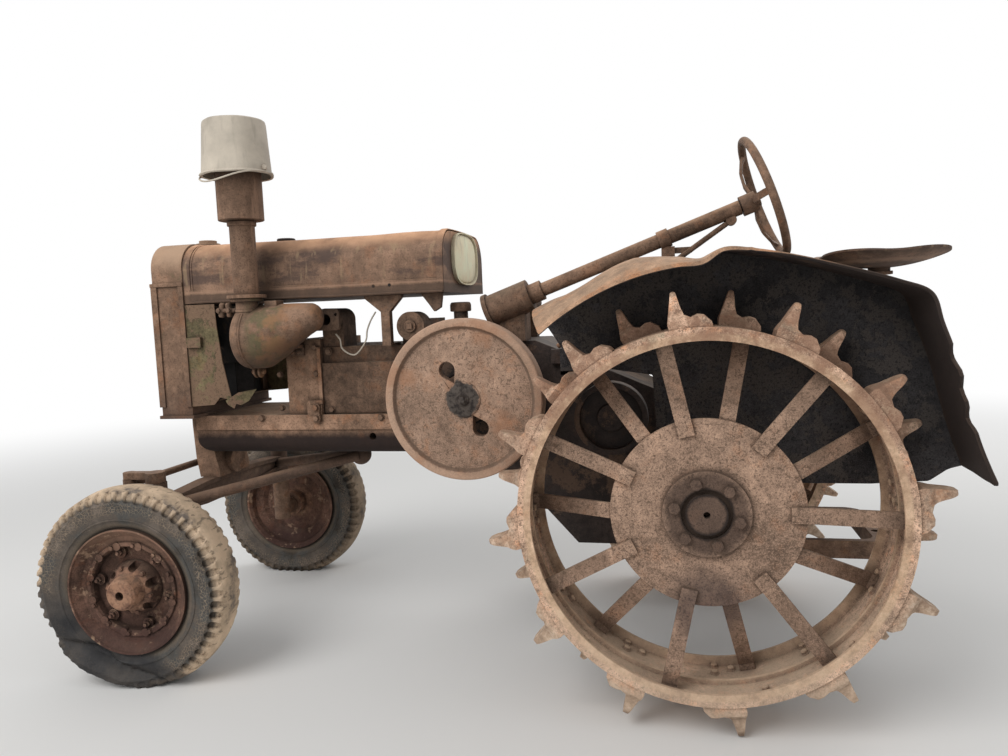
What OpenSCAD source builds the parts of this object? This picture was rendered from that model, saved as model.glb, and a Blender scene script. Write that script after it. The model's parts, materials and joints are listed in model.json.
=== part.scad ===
// Standard-tread farm tractor of the 1930s on steel rear wheels, as it stands rusting in a yard.
// Millimetres. +X points to the rear, +Y to the tractor's right, +Z up.
// The origin is on the ground, under the middle of the overall length.
// Inside the modules every place is measured from the centre of the rear axle.

/* [Stance] */
// Distance between the front and the rear axle
wheelbase = 1950; // [1900:10:2050]
// Distance between the centre planes of the rear wheels
rear_track = 1126; // [1120:2:1180]
// Distance between the kingpins of the front axle
kingpin_track = 880; // [860:10:900]
// Height of the front wheels' centres, lower than the tyre's radius because the tyres are soft
front_axle_h = 340; // [334:1:350]
// Angle that the front wheels stand turned to the left
steer_rest = 3.5; // [0:0.5:4]
// Distance from the rear axle back to the rear edge of the seat
seat_reach = 800; // [780:5:840]

/* [Rear wheels] */
// Outside diameter of the steel rim
rear_rim_d = 1086; // [1060:2:1110]
// Width of the rim
rear_rim_w = 254; // [240:2:264]
// Thickness of the rim's band
rim_band_t = 10; // [8:1:12]
// Depth of the turned-in edge on each side of the rim
rim_edge_h = 38; // [30:1:45]
// Height of a lug's tip over the rim
lug_h = 105; // [95:1:112]
// Number of lugs along each edge of the rim
lugs = 12; // [10:2:14]
// Width of a lug across the rim
lug_w = 84; // [70:1:92]
// Length of a lug's foot along the rim
lug_foot = 118; // [100:1:130]
// Number of flat spokes
spokes = 14; // [12:2:16]
// Width of a spoke
spoke_w = 46; // [38:1:52]
// Thickness of a spoke
spoke_t = 12; // [10:1:14]
// Diameter of the big disc that the spokes are bolted to
disc_d = 556; // [520:2:580]
// Thickness of that disc
disc_t = 12; // [10:1:16]
// Distance from the rim's outer edge in to the disc's face
disc_inset = 88; // [80:1:100]
// Diameter of the rear axle shaft
axle_d = 82; // [70:1:90]
// Circle of the hub bolts
hub_bolt_pcd = 186; // [176:1:196]

/* [Front wheels] */
// Outside diameter of the front tyre
tyre_d = 720; // [706:2:730]
// Width of the front tyre
tyre_w = 156; // [146:1:160]
// Diameter of the rim's edge
front_rim_d = 444; // [430:1:456]
// Distance from a kingpin out to the centre plane of its wheel
wheel_offset = 145; // [140:1:148]
// Number of scallops around the front wheel's clamp ring
scallops = 12; // [10:1:14]
// Number of clamps that hold the front rim
rim_clamps = 6; // [5:1:6]
// Diameter of a kingpin
kingpin_d = 38; // [32:1:42]
// Diameter of a wheel spindle
spindle_d = 46; // [40:1:52]

/* [Crankcase and main case] */
// Width of the crankcase
frame_w = 400; // [380:2:420]
// Height of the crankcase's top over the rear axle
frame_top = 245; // [235:1:255]
// Height of the flat band along the crankcase's top
frame_band = 58; // [50:1:66]
// Height of the rounded pan below it
pan_h = 92; // [80:1:100]
// Width of the main case and the engine
case_w = 380; // [360:2:384]
// Height of the engine's top over the rear axle
engine_top = 500; // [490:1:512]
// Depth of the main case below the rear axle
case_drop = 230; // [210:2:250]
// Diameter of an implement hole through the crankcase
frame_hole_d = 27; // [20:1:32]

/* [Flywheel and pulley] */
// Distance from the rear axle forward to the crankshaft
crank_x = 770; // [760:2:790]
// Height of the crankshaft over the rear axle
crank_z = 320; // [312:2:330]
// Diameter of the crankshaft
crank_d = 70; // [60:1:76]
// Diameter of the flywheel
flywheel_d = 540; // [520:2:550]
// Width of the flywheel's rim
flywheel_w = 70; // [60:1:76]
// Distance from the middle of the tractor out to the flywheel's face
flywheel_face = 430; // [424:1:434]
// Diameter of the belt pulley
pulley_d = 400; // [380:2:420]
// Width of the belt pulley
pulley_w = 122; // [110:1:124]

/* [Radiator and tank] */
// Width of the radiator
rad_w = 560; // [540:2:570]
// Depth of the radiator from front to rear
rad_depth = 132; // [125:1:140]
// Distance that the radiator's front stands ahead of the front axle
rad_lead = 70; // [60:1:80]
// Height of the radiator's lower tank
rad_foot_h = 46; // [40:1:52]
// Height of the radiator's open core
core_h = 459; // [440:1:470]
// Height of the radiator's upper tank
head_h = 165; // [155:1:175]
// Length of the fuel tank
tank_len = 1040; // [1020:5:1060]
// Width of the fuel tank
tank_w = 552; // [540:2:562]
// Height of the fuel tank's underside over the rear axle
tank_bottom = 682; // [678:1:690]
// Height of the fuel tank
tank_h = 225; // [215:1:235]
// Rounding of the tank's upper edges
tank_round = 100; // [85:1:105]
// Number of upright fins across the core
fins = 27; // [19:2:31]
// Diameter of the fan
fan_d = 368; // [340:2:376]

/* [Air intake] */
// Diameter of the intake pipe
stack_d = 88; // [76:1:96]
// Height of the pipe below the collar
stack_h = 275; // [260:1:290]
// Diameter of the collar on the pipe
collar_d = 158; // [140:2:170]
// Height of the collar
collar_h = 166; // [150:1:180]
// Diameter of the upturned bucket's mouth
bucket_d = 250; // [230:2:260]
// Height of the bucket
bucket_h = 190; // [170:1:200]
// Diameter of the air cleaner's round body
cleaner_d = 232; // [220:2:236]

/* [Steering] */
// Slope of the steering column
column_slope = 19.7; // [18:0.1:21]
// Length of the steering column from the gearbox to the wheel's hub
column_len = 750; // [730:5:780]
// Diameter of the steering column's tube
column_d = 48; // [44:1:54]
// Diameter of the steering wheel
steer_wheel_d = 410; // [390:2:430]
// Thickness of the steering wheel's rim
steer_grip_d = 26; // [22:1:30]
// Length of the drop arm
drop_arm_len = 175; // [170:1:180]
// Length of the arms that the tie rod joins
tie_arm_len = 105; // [100:1:112]
// Length of the arm that the drag link pushes
drag_arm_len = 160; // [150:1:168]
// Diameter of the tie rod
tie_rod_d = 28; // [24:1:32]

/* [Fenders, seat and drawbar] */
// Thickness of the fenders' sheet
sheet_t = 5; // [4:0.5:7]
// Distance from the middle of the tractor out to a fender's inner plate
plate_y = 420; // [418:1:424]
// Width of the seat
seat_w = 440; // [420:2:460]
// Length of the seat
seat_len = 390; // [370:5:410]
// Height of the seat's rear edge over the rear axle
seat_z = 770; // [760:2:790]
// How far a fender's inner edge rises over its outer edge
crown_rise = 62; // [50:1:70]
// Height of the platform over the rear axle
platform_z = 150; // [140:2:170]
// Distance from the rear axle back to the end of the drawbar
drawbar_reach = 595; // [580:5:620]
// Diameter of a hole in the drawbar
drawbar_hole_d = 25.4; // [22:0.2:30]

/* [Hidden] */

$fn = 64;
run_gap = 0.5;

// Rear wheel, and the height of the axle when it stands on two neighbouring lug tips
rim_r = rear_rim_d / 2;
tip_r = rim_r + lug_h;
tip_round = 8;
tip_turn = 90 / lugs;
axle_z = (tip_r - tip_round) * cos(tip_turn) + tip_round;
rim_outer_y = rear_track / 2 + rear_rim_w / 2;
rim_inner_y = rear_track / 2 - rear_rim_w / 2;
disc_y = rim_outer_y - disc_inset;

// Front wheel
tyre_r = tyre_d / 2;
kingpin_y = kingpin_track / 2;
spindle_z = front_axle_h - axle_z;

// The origin lies midway between the front tyre and the seat
front_reach = wheelbase + wheel_offset * sin(steer_rest) + tyre_r * cos(steer_rest);
axle_x = (front_reach - seat_reach) / 2;

// Crankcase, engine and case
frame_front = 20 - wheelbase;
frame_rear = -1060;
frame_split = frame_top - frame_band;
frame_bottom = frame_split - pan_h;
case_y = case_w / 2;
head_x = 420 - wheelbase;
head_len = 145;
head_top = engine_top + 30;
block_rear = -1000;

// Radiator
rad_x = -wheelbase - rad_lead;
rad_rear = rad_x + rad_depth;
rad_bottom = frame_top;
core_bottom = rad_bottom + rad_foot_h;
core_top = core_bottom + core_h;
rad_top = core_top + head_h;
side_w = 42;
fan_z = 480;
fan_x = rad_rear + 58;

// Tank
tank_x = rad_rear;
tank_rear = tank_x + tank_len;
tank_top = tank_bottom + tank_h;
tank_lip = 10;

// Intake
base_w = 50;
stack_x = head_x - 45;
stack_y = -(tank_w / 2 + tank_lip + (stack_d + base_w) / 2 + 5);
stack_z = tank_bottom + 8;
cleaner_x = head_x - 30;
cleaner_y = stack_y + 43;
cleaner_z = tank_bottom - 16 - cleaner_d / 2;
cleaner_nose = 80;

// Steering
box_x = -640;
box_y = -200;
box_z = 635;
column_start = 75;
arm_z = 46;
arm_t = 26;
drop_y = 215;
link_y = drop_y + 43;
sleeve_bottom = -130;
sleeve_top = 32;

// The crown's sheet runs this far past the inner plate
sheet_fold = 3;

// Crown of a fender, seen from the side: a round front, a flatter top and a tail that hangs down
crown_line = concat(
  [for (a = [130.4:-4.8:91.9]) [750 * cos(a) + 22, 750 * sin(a) - 26]],
  [[56, 757], [146, 747], [245, 725], [367, 690], [487, 651], [568, 614],
   [599, 534], [640, 423], [676, 281], [702, 191], [731, 108]]
);

// The crown rises to the inner plate at the front, where it also has a dent
function crown_normal(i) = line_normal(crown_line, i);
function crown_lift(i, v) =
  let (x = crown_line[i][0])
  crown_rise * max(0, min(1, (60 - x) / 240)) * (1 - pow(v, 2.4))
  + 24 * max(0, min(1, (-380 - x) / 84)) * (1 - v)
  - 16 * exp(-pow((x + 335) / 70, 2)) * (1 - v);
function crown_point(i, y, h) =
  let (p = crown_line[i] + h * crown_normal(i))
  [p[0], y, p[1]];

// The upper edge of the inner plate lies inside the crown's sheet
function plate_edge(i) = crown_line[i] + (crown_lift(i, 0) - sheet_t / 2) * crown_normal(i);

// One cross-section of the crown's sheet, with the lip rolled down along its outer edge
function crown_section(i, y0) =
  let (w = rim_outer_y - y0, lip = 7, steps = [0, 0.3, 0.55, 0.8])
  concat(
    [for (v = steps) crown_point(i, y0 + v * w, crown_lift(i, v))],
    [crown_point(i, rim_outer_y, 0), crown_point(i, rim_outer_y, -2 * lip),
     crown_point(i, rim_outer_y - lip, -2 * lip), crown_point(i, rim_outer_y - lip, -sheet_t)],
    [for (k = [len(steps) - 1:-1:0])
      crown_point(i, y0 + steps[k] * w, crown_lift(i, steps[k]) - sheet_t)]);

// The end of the sheet in four-sided faces, from the inner edge to the lip
crown_cap = concat([for (k = [0:3]) [k, k + 1, k < 3 ? 10 - k : 7, 11 - k]], [[4, 5, 6, 7]]);

// Steps a line sideways by t, to make a sheet of it
function unit(v) = v / norm(v);
function line_normal(p, i) =
  let (a = p[max(i - 1, 0)], b = p[min(i + 1, len(p) - 1)], d = unit(b - a))
  [-d[1], d[0]];
function strip(p, t) = concat(
  [for (i = [0:len(p) - 1]) p[i]],
  [for (i = [len(p) - 1:-1:0]) p[i] - t * line_normal(p, i)]
);

// Places measured from the rear axle
module at_axle() {
  translate([axle_x, 0, axle_z]) children();
}

// A flat outline in X and Z, given thickness along Y between two places
module side_plate(y0, y1) {
  translate([0, y1, 0]) rotate([90, 0, 0]) linear_extrude(y1 - y0) children();
}

// A round bar along Y
module bar_y(x, z, y0, y1, d) {
  translate([x, y0, z]) rotate([-90, 0, 0]) cylinder(d = d, h = y1 - y0);
}

// A round bar along X
module bar_x(y, z, x0, x1, d) {
  translate([x0, y, z]) rotate([0, 90, 0]) cylinder(d = d, h = x1 - x0);
}

// A round bar between any two points
module bar(a, b, d) {
  v = b - a;
  h = norm(v);
  translate(a)
    rotate([0, acos(v[2] / h), atan2(v[1], v[0])])
      cylinder(d = d, h = h);
}

// A box between two corners
module block(a, b) {
  translate(a) cube(b - a);
}

// An outline with rounded corners, made of two crossed rectangles and four discs
module rounded(w, h, r) {
  union() {
    translate([r, 0]) square([w - 2 * r, h]);
    translate([0, r]) square([w, h - 2 * r]);
    for (x = [r, w - r], y = [r, h - r]) translate([x, y]) circle(r);
  }
}

// A hex bolt head on a face, its top pointing along +Z
module hex_head(af, h) {
  cylinder(d = af / cos(30), h = h, $fn = 6);
}

// Crankcase

module main_frame() {
  color("saddlebrown") at_axle() difference() {
    union() {
      block([frame_front, -frame_w / 2 - 6, frame_split], [frame_rear, frame_w / 2 + 6, frame_top]);
      intersection() {
        side_plate(-frame_w / 2, frame_w / 2)
          translate([frame_front, frame_bottom])
            rounded(frame_rear - frame_front + 60, pan_h + 80, 60);
        translate([frame_front, 0, frame_bottom]) rotate([90, 0, 90]) linear_extrude(frame_rear - frame_front)
          translate([-frame_w / 2, 0]) rounded(frame_w, pan_h + 80, 46);
        block([frame_front, -frame_w, frame_bottom - 1], [frame_rear, frame_w, frame_split + 1]);
      }
    }
    for (s = [-1, 1]) scale([1, s, 1])
      bar_y(frame_hole_x, frame_hole_z, frame_w / 2 - frame_hole_depth, frame_w, frame_hole_d);
  }
}
frame_hole_x = -1190;
frame_hole_z = frame_split - 27;
frame_hole_depth = 50;

module main_case() {
  color("#4a3527") at_axle() difference() {
    union() {
      side_plate(-case_y, case_y) polygon([
        [frame_rear, frame_bottom], [frame_rear, frame_top], [block_rear, frame_top],
        [block_rear, engine_top], [-560, engine_top], [-420, 440], [-150, 320], [60, 230],
        [190, 140], [320, 90], [330, -120], [250, -case_drop], [-430, -case_drop],
        [-620, -20], [-760, 50]
      ]);
      // Round housings that carry the rear axle
      for (s = [-1, 1]) scale([1, s, 1]) {
        bar_y(0, 0, case_y - 5, case_y + 40, 330);
        translate([0, case_y + 35, 0]) rotate([-90, 0, 0])
          cylinder(d1 = 270, d2 = 170, h = housing_end - case_y - 35);
      }
      // Bearing housings of the crankshaft
      bar_y(-crank_x, crank_z, -flywheel_back, -case_y + 5, 190);
      bar_y(-crank_x, crank_z, case_y - 5, case_y + 32, 170);
      // Brake housings
      for (s = [-1, 1]) scale([1, s, 1]) {
        bar_y(-285, 250, case_y - 5, plate_y - 70, 130);
        difference() {
          bar_y(-285, 250, plate_y - 70, plate_y - 10, 236);
          bar_y(-285, 250, plate_y - 44, plate_y, 200);
        }
        bar_y(-285, 250, plate_y - 50, plate_y - 30, 90);
      }
      // Bosses under the lever and the column's stay
      translate([-330, 60, 380]) cylinder(d = 66, h = 50);
      block([stay_foot[0] - 24, box_y - 14, stay_foot[2] - 60], [stay_foot[0] + 24, 30 - case_y, stay_foot[2] - 8]);
      // Breather neck
      translate([-840, -150, engine_top - 20]) cylinder(d = 52, h = 160);
      translate([-840, -150, engine_top + 120]) cylinder(d = 70, h = 26);
    }
    bar_y(0, 0, -housing_end - 1, housing_end + 1, axle_d + 2 * run_gap);
    bar_y(-crank_x, crank_z, -flywheel_face, flywheel_face, crank_d + 2 * run_gap);
  }
}
flywheel_back = flywheel_face - flywheel_w - 12;
housing_end = rim_inner_y - 26;

// Front end

module front_pedestal() {
  color("#5a4030") at_axle() {
    union() {
      side_plate(-110, 110) polygon([
        [rad_x + 6, frame_split + 6], [rad_x + 6, rad_bottom], [frame_front, rad_bottom],
        [frame_front, frame_bottom + 20], [-wheelbase + 45, 0],
        [-wheelbase + 45, axle_beam_top], [-wheelbase - 45, axle_beam_top], [-wheelbase - 58, 60]
      ]);
      bar_x(0, axle_beam_top + 52, -wheelbase - 58, -wheelbase + 62, 104);
    }
  }
}
axle_beam_top = -22;

module front_axle() {
  color("#5f4433") at_axle() difference() {
    union() {
      // Beam, deeper in the middle, with a web thinner than its edges
      difference() {
        translate([-wheelbase + 32, 0, 0]) rotate([90, 0, -90]) linear_extrude(64) polygon([
          [-kingpin_y, -40], [-160, axle_beam_top], [160, axle_beam_top], [kingpin_y, -40],
          [kingpin_y, -92], [190, -112], [-190, -112], [-kingpin_y, -92]
        ]);
        for (s = [-1, 1]) translate([-wheelbase + s * 52, 0, 0]) rotate([90, 0, -90])
          translate([0, 0, -30]) linear_extrude(60) polygon([
            [-kingpin_y + 60, -54], [-160, -40], [160, -40], [kingpin_y - 60, -54],
            [kingpin_y - 60, -78], [190, -96], [-190, -96], [-kingpin_y + 60, -78]
          ]);
      }
      for (s = [-1, 1]) translate([-wheelbase, s * kingpin_y, sleeve_bottom])
        cylinder(d = kingpin_d + 38, h = sleeve_top - sleeve_bottom);
      // Radius rods back to the ball under the crankcase
      for (s = [-1, 1])
        bar([-wheelbase + 20, s * (kingpin_y - 52), -66], [rod_ball_x, s * 30, frame_bottom - 42], 42);
      translate([rod_ball_x, 0, frame_bottom - 42]) sphere(d = 84);
      translate([rod_ball_x, 0, frame_bottom - 42]) cylinder(d = 60, h = 42);
    }
    for (s = [-1, 1]) translate([-wheelbase, s * kingpin_y, sleeve_bottom - 1])
      cylinder(d = kingpin_d + 2 * run_gap, h = sleeve_top - sleeve_bottom + 2);
  }
}
rod_ball_x = 620 - wheelbase;

// Radiator

module radiator_core() {
  color("#3b3330") at_axle() {
    block([rad_x + 26, -rad_w / 2 + side_w, core_bottom], [rad_rear - 12, rad_w / 2 - side_w, core_top]);
    pitch = (rad_w - 2 * side_w) / fins;
    for (i = [0:fins - 1])
      block([rad_x + 14, -rad_w / 2 + side_w + (i + 0.3) * pitch, core_bottom],
            [rad_x + 27, -rad_w / 2 + side_w + (i + 0.7) * pitch, core_top]);
  }
}

module radiator_frame() {
  color("#6b4a35") at_axle() {
    // Lower tank with a lip around its foot
    block([rad_x, -rad_w / 2, rad_bottom], [rad_rear, rad_w / 2, core_bottom]);
    block([rad_x - 8, -rad_w / 2 - 8, rad_bottom], [rad_rear + 8, rad_w / 2 + 8, rad_bottom + 12]);
    // Side castings
    for (s = [-1, 1]) scale([1, s, 1]) {
      block([rad_x, rad_w / 2 - side_w, core_bottom - 1], [rad_rear, rad_w / 2, core_top]);
      block([rad_x - 6, rad_w / 2 - side_w, core_bottom - 1], [rad_x + 20, rad_w / 2 + 6, core_top]);
      block([rad_rear - 20, rad_w / 2 - side_w, core_bottom - 1], [rad_rear, rad_w / 2 + 6, core_top]);
    }
  }
}

module radiator_top_tank() {
  color("#6b4a35") at_axle() {
    intersection() {
      translate([rad_x, 0, core_top]) rotate([90, 0, 90]) linear_extrude(rad_depth) union() {
        translate([-rad_w / 2 - 2, -200]) rounded(rad_w + 4, head_h + 200, tank_round);
      }
      block([rad_x, -rad_w, core_top], [rad_rear, rad_w, rad_top + 1]);
    }
    block([rad_x - 8, -rad_w / 2 - 8, core_top], [rad_rear, rad_w / 2 + 8, core_top + 14]);
    translate([rad_x + rad_depth / 2, 0, rad_top - 2]) cylinder(d = 96, h = 20);
    translate([rad_x + rad_depth / 2, 0, rad_top + 18]) cylinder(d = 70, h = 12);
  }
}

module fan_shroud() {
  foot = core_bottom;
  top = tank_bottom - 4;
  color("#59593f") at_axle() {
    for (s = [-1, 1]) scale([1, s, 1])
      side_plate(rad_w / 2 - 4, rad_w / 2) polygon([
        [rad_rear, foot], [rad_rear, top], [rad_rear + 0.72 * shroud_len, top],
        [rad_rear + 0.74 * shroud_len, foot + 300], [rad_rear + 0.82 * shroud_len, foot + 170],
        [rad_rear + 0.94 * shroud_len, foot + 60], [rad_rear + shroud_len, foot + 22],
        [rad_rear + 0.7 * shroud_len, foot + 34], [rad_rear + 0.55 * shroud_len, foot + 6]
      ]);
    for (z = [foot + 4, top - 8])
      block([rad_rear, -rad_w / 2, z], [rad_rear + 20, rad_w / 2, z + 4]);
    // Cast block on the left plate
    block([rad_rear + 6, -rad_w / 2 - 16, foot + 226], [rad_rear + 66, -rad_w / 2 + 1, foot + 264]);
    // Torn flap that hangs from the left plate's rear corner
    translate([rad_rear + shroud_len - 6, -rad_w / 2 + 4, foot + 24]) rotate([0, 0, 22]) rotate([90, 0, 0])
      linear_extrude(4) polygon([
        [-22, -2], [26, 26], [94, 36], [62, -8], [34, -22], [16, -16], [8, -34], [-14, -18]]);
  }
}
shroud_len = 174;

// Fuel tank, which is also the hood

module tank_section(grow) {
  intersection() {
    translate([-tank_w / 2 - grow, -300]) rounded(tank_w + 2 * grow, tank_h + 300 + grow, tank_round);
    translate([-tank_w, 0]) square([2 * tank_w, tank_h + 50]);
  }
}

module fuel_tank() {
  color("#7a5238") at_axle() {
    translate([tank_x, 0, tank_bottom]) rotate([90, 0, 90]) linear_extrude(tank_len - 14) tank_section(0);
    for (x = [tank_x, tank_rear - 40])
      translate([x, 0, tank_bottom]) rotate([90, 0, 90]) linear_extrude(26) tank_section(4);
    block([tank_x, -tank_w / 2 - 10, tank_bottom], [tank_rear - 14, tank_w / 2 + 10, tank_bottom + 9]);
  }
}

module tank_end_panel() {
  color("#b9bfa6") at_axle()
    translate([tank_rear - 14, 0, tank_bottom]) rotate([90, 0, 90]) linear_extrude(14)
      intersection() {
        translate([-165, 30]) rounded(330, 200, 90);
        translate([-tank_w / 2, 0]) square([tank_w, tank_h]);
      }
}

module tank_caps() {
  color("#5b3d2b") at_axle() {
    translate([head_x - 70, 0, tank_top]) cylinder(d = 84, h = 12);
    translate([head_x - 70, 0, tank_top + 10]) cylinder(d = 64, h = 16);
  }
}

module tank_brackets() {
  y = -(tank_w / 2 - 26);
  color("#54402f") at_axle() {
    side_plate(y, y + 30) polygon([
      [bracket_x, engine_top], [bracket_x, tank_bottom - 60], [bracket_x - 60, tank_bottom - 10],
      [bracket_x - 60, tank_bottom], [bracket_x + 80, tank_bottom], [bracket_x + 80, tank_bottom - 10],
      [bracket_x + 34, tank_bottom - 60], [bracket_x + 34, engine_top]]);
    side_plate(y, -case_y + 40) polygon([
      [bracket_x, engine_top], [bracket_x, engine_top + 8], [bracket_x + 34, engine_top + 8],
      [bracket_x + 34, engine_top]]);
    // Rear bracket under the tank's end
    side_plate(y, y + 24) polygon([
      [tank_rear - 110, tank_bottom], [tank_rear - 30, tank_bottom], [tank_rear - 38, tank_bottom - 52],
      [tank_rear - 62, tank_bottom - 66], [tank_rear - 80, tank_bottom - 40]]);
  }
}
bracket_x = -1112;

// Air intake

module air_stack() {
  color("#5a3e33") at_axle() translate([stack_x, stack_y, stack_z]) {
    cylinder(d = stack_d, h = stack_h);
    cylinder(d = stack_d + base_w, h = 12);
    translate([0, 0, stack_h]) cylinder(d = collar_d, h = collar_h);
    translate([0, 0, stack_h + collar_h - 1]) cylinder(d = stack_d, h = bucket_h - bucket_lap - 8 + 1);
    translate([0, 0, stack_h * 0.93]) cylinder(d = stack_d + 12, h = 14);
  }
}

module stack_bucket() {
  color("#b5b0a5") at_axle() translate([stack_x, stack_y, stack_z + stack_h + collar_h]) difference() {
    union() {
      translate([0, 0, -bucket_lap]) cylinder(d1 = bucket_d, d2 = bucket_d - 30, h = bucket_h);
      translate([0, 0, -bucket_lap]) cylinder(d = bucket_d + 10, h = 9);
    }
    translate([0, 0, -bucket_lap - 1])
      cylinder(d1 = bucket_d - 6, d2 = bucket_d - 34, h = bucket_h - 8 + 1);
  }
}
bucket_lap = 14;

module air_cleaner() {
  r = cleaner_d / 2;
  seat_z0 = cleaner_z + r - 60;
  color("#5e5a44") at_axle() {
    // Round body with its domed cap and the band that holds the cap
    translate([cleaner_x, cleaner_y, cleaner_z]) rotate([0, -90, 0]) rotate_extrude() polygon([
      [0, 0], [r, 0], [r, 34], [r - 5, 50], [r - 20, 63], [64, 74], [0, cleaner_nose]]);
    bar_x(cleaner_y, cleaner_z, cleaner_x - 26, cleaner_x - 12, cleaner_d + 6);
    for (x = [cleaner_x - 26, cleaner_x - 8])
      bar_x(cleaner_y, cleaner_z - r - 12, x, x + 8, 44);
    bar_x(cleaner_y, cleaner_z - r - 12, cleaner_x - 34, cleaner_x + 6, 12);
    // The outlet narrows to the rear with its top level
    hull() {
      bar_x(cleaner_y, cleaner_z, cleaner_x - 2, cleaner_x + 44, cleaner_d, $fn = 40);
      bar_x(cleaner_y, cleaner_z + r - 48, cleaner_x + 230, cleaner_x + 250, 96, $fn = 40);
    }
    // Neck and flange under the intake pipe, and the block beside it
    translate([stack_x, stack_y, seat_z0]) cylinder(d = stack_d - 8, h = stack_z - seat_z0);
    translate([stack_x, stack_y, stack_z - 12]) cylinder(d = stack_d + 24, h = 12);
    block([stack_x + 62, stack_y + 4, cleaner_z + r - 40], [stack_x + 112, stack_y + 58, tank_bottom - 4]);
    // Clamp bolt ahead of the neck
    bar_x(stack_y + 4, cleaner_z + r - 16, stack_x - 120, stack_x, 18);
    for (x = [-112, -72]) translate([stack_x + x, stack_y + 4, cleaner_z + r - 40]) cylinder(d = 20, h = 52);
    // Bracket to the engine
    block([head_x + 20, cleaner_y + 60, head_top - 30], [head_x + 80, -case_y, head_top - 18]);
    block([head_x + 20, -case_y - 12, head_top - 60], [head_x + 80, -case_y, head_top - 18]);
  }
}

// Engine

module cylinder_head() {
  color("#5d4332") at_axle() difference() {
    union() {
      block([head_x, -case_y, frame_top], [head_x + head_len, case_y, head_top]);
      block([head_x - 16, -case_y + 30, frame_top + 40], [head_x, case_y - 30, head_top - 90]);
      bar_x(0, fan_z, head_x - 60, head_x + 1, 92);
      // Rib down the joint with the engine block
      block([head_x + head_len - 14, -case_y - 8, frame_top], [head_x + head_len, -case_y + 1, head_top - 30]);
      // Lug bolted to the crankcase's band
      side_plate(-case_y - 18, -case_y + 1) translate([head_x + head_len - 61, frame_top - 20])
        rounded(60, 74, 12);
    }
    bar_x(0, fan_z, head_x - 61, head_x + 20, fan_shaft_d + 2 * run_gap);
    // The lug stands clear of the band
    block([head_x + head_len - 80, -frame_w / 2 - 20, frame_top - 40],
          [head_x + head_len + 20, frame_w / 2 + 20, frame_top]);
  }
}
fan_shaft_d = 30;

module engine_block() {
  color("#5a4030") at_axle() {
    block([head_x + head_len, -case_y, frame_top], [block_rear, case_y, engine_top - 60]);
    block([head_x + head_len, -case_y + 14, engine_top - 61], [block_rear, case_y - 14, engine_top]);
  }
}

module manifold() {
  x = head_x + head_len + 45;
  z = engine_top + 102;
  color("#6a4430") at_axle() difference() {
    union() {
      block([x - 42, -170, engine_top], [x + 42, -50, z]);
      bar_y(x, z, -223, -50, 84);
      side_plate(-230, -216) translate([x - 55, z - 40]) rounded(110, 80, 14);
    }
    bar_y(x, z, -231, -120, 42);
    for (s = [-1, 1]) bar_y(x + s * 42, z + s * 18, -231, -210, 12);
  }
}

module governor() {
  color("#5b4231") at_axle() {
    block([-1070, -150, engine_top], [-960, 40, engine_top + 92]);
    bar_y(-1010, 567, -228, -140, 104);
    translate([-1010, -228, 567]) rotate([90, 0, 0]) cylinder(d = 44, h = 8);
    translate([-1010, -236, 567]) cube([20, 12, 20], center = true);
  }
}

// Fenders

module fender(s) {
  y0 = plate_y - sheet_t / 2;
  n = len(crown_line);
  rows = [for (i = [0:n - 1]) crown_section(i, y0 - sheet_fold)];
  m = len(rows[0]);
  scale([1, s, 1]) difference() {
    union() {
      polyhedron(
        points = [for (row = rows, p = row) p],
        faces = concat(
          [for (q = crown_cap) [for (k = [3:-1:0]) q[k]]],
          [for (q = crown_cap) [for (k = q) (n - 1) * m + k]],
          [for (i = [0:n - 2], j = [0:m - 1]) [i * m + j, i * m + (j + 1) % m, (i + 1) * m + j]],
          [for (i = [0:n - 2], j = [0:m - 1])
            [i * m + (j + 1) % m, (i + 1) * m + (j + 1) % m, (i + 1) * m + j]]));
      side_plate(y0, plate_y + sheet_t / 2) polygon(concat(
        [0.9 * plate_edge(0) + 0.1 * plate_edge(1)], [for (i = [1:n - 2]) plate_edge(i)],
        [0.9 * plate_edge(n - 1) + 0.1 * plate_edge(n - 2), [690, 96], [640, 60], [480, 50], [140, 50], [-140, 150], [-150, 390], [-400, 430]]));
      // Arms to the main case
      block([-440, case_y, 396], [-390, plate_y, 408]);
      block([-440, plate_y - 14, 396], [-370, plate_y, 480]);
      block([200, case_y, 70], [240, plate_y, 82]);
      block([200, case_y, 30], [240, case_y + 8, 82]);
    }
    // The axle passes under the plate
    bar_y(0, 0, plate_y - 20, plate_y + 20, 260);
  }
}

module left_fender() {
  color("#7a4f33") at_axle() fender(-1);
}

module right_fender() {
  color("#7a4f33") at_axle() fender(1);
}

// Height of the main case's sloping top behind the axle
function case_top(x) = 140 - (x - 190) * 50 / 130;

module platform() {
  color("#5c4534") at_axle() {
    py = plate_y - sheet_t / 2;
    block([212, -py, platform_z], [620, py, platform_z + 6]);
    for (s = [-1, 1]) scale([1, s, 1]) block([260, py - 6, platform_z - 44], [600, py, platform_z]);
    side_plate(-40, 40) polygon([
      [250, case_top(250)], [280, case_top(280)], [280, platform_z], [250, platform_z]]);
    block([602, -py + 6, platform_z - 40], [610, py - 6, platform_z]);
  }
}

// Seat

seat_x = seat_reach - seat_len / 2;

module seat() {
  color("#7d5437") at_axle() {
    intersection() {
      difference() {
        translate([seat_x, 0, seat_z + 470]) sphere(r = 540, $fn = 96);
        translate([seat_x, 0, seat_z + 470]) sphere(r = 534, $fn = 96);
        for (s = [-1, 1], x = [-50, 60]) translate([seat_x + x, s * 70, seat_z - 200]) cylinder(d = 26, h = 300);
      }
      translate([seat_reach - seat_len, -seat_w / 2, seat_z - 120]) linear_extrude(122)
        rounded(seat_len, seat_w, 150);
    }
    translate([seat_x, 0, seat_z - 80]) cylinder(d = 70, h = 13);
  }
}

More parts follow.
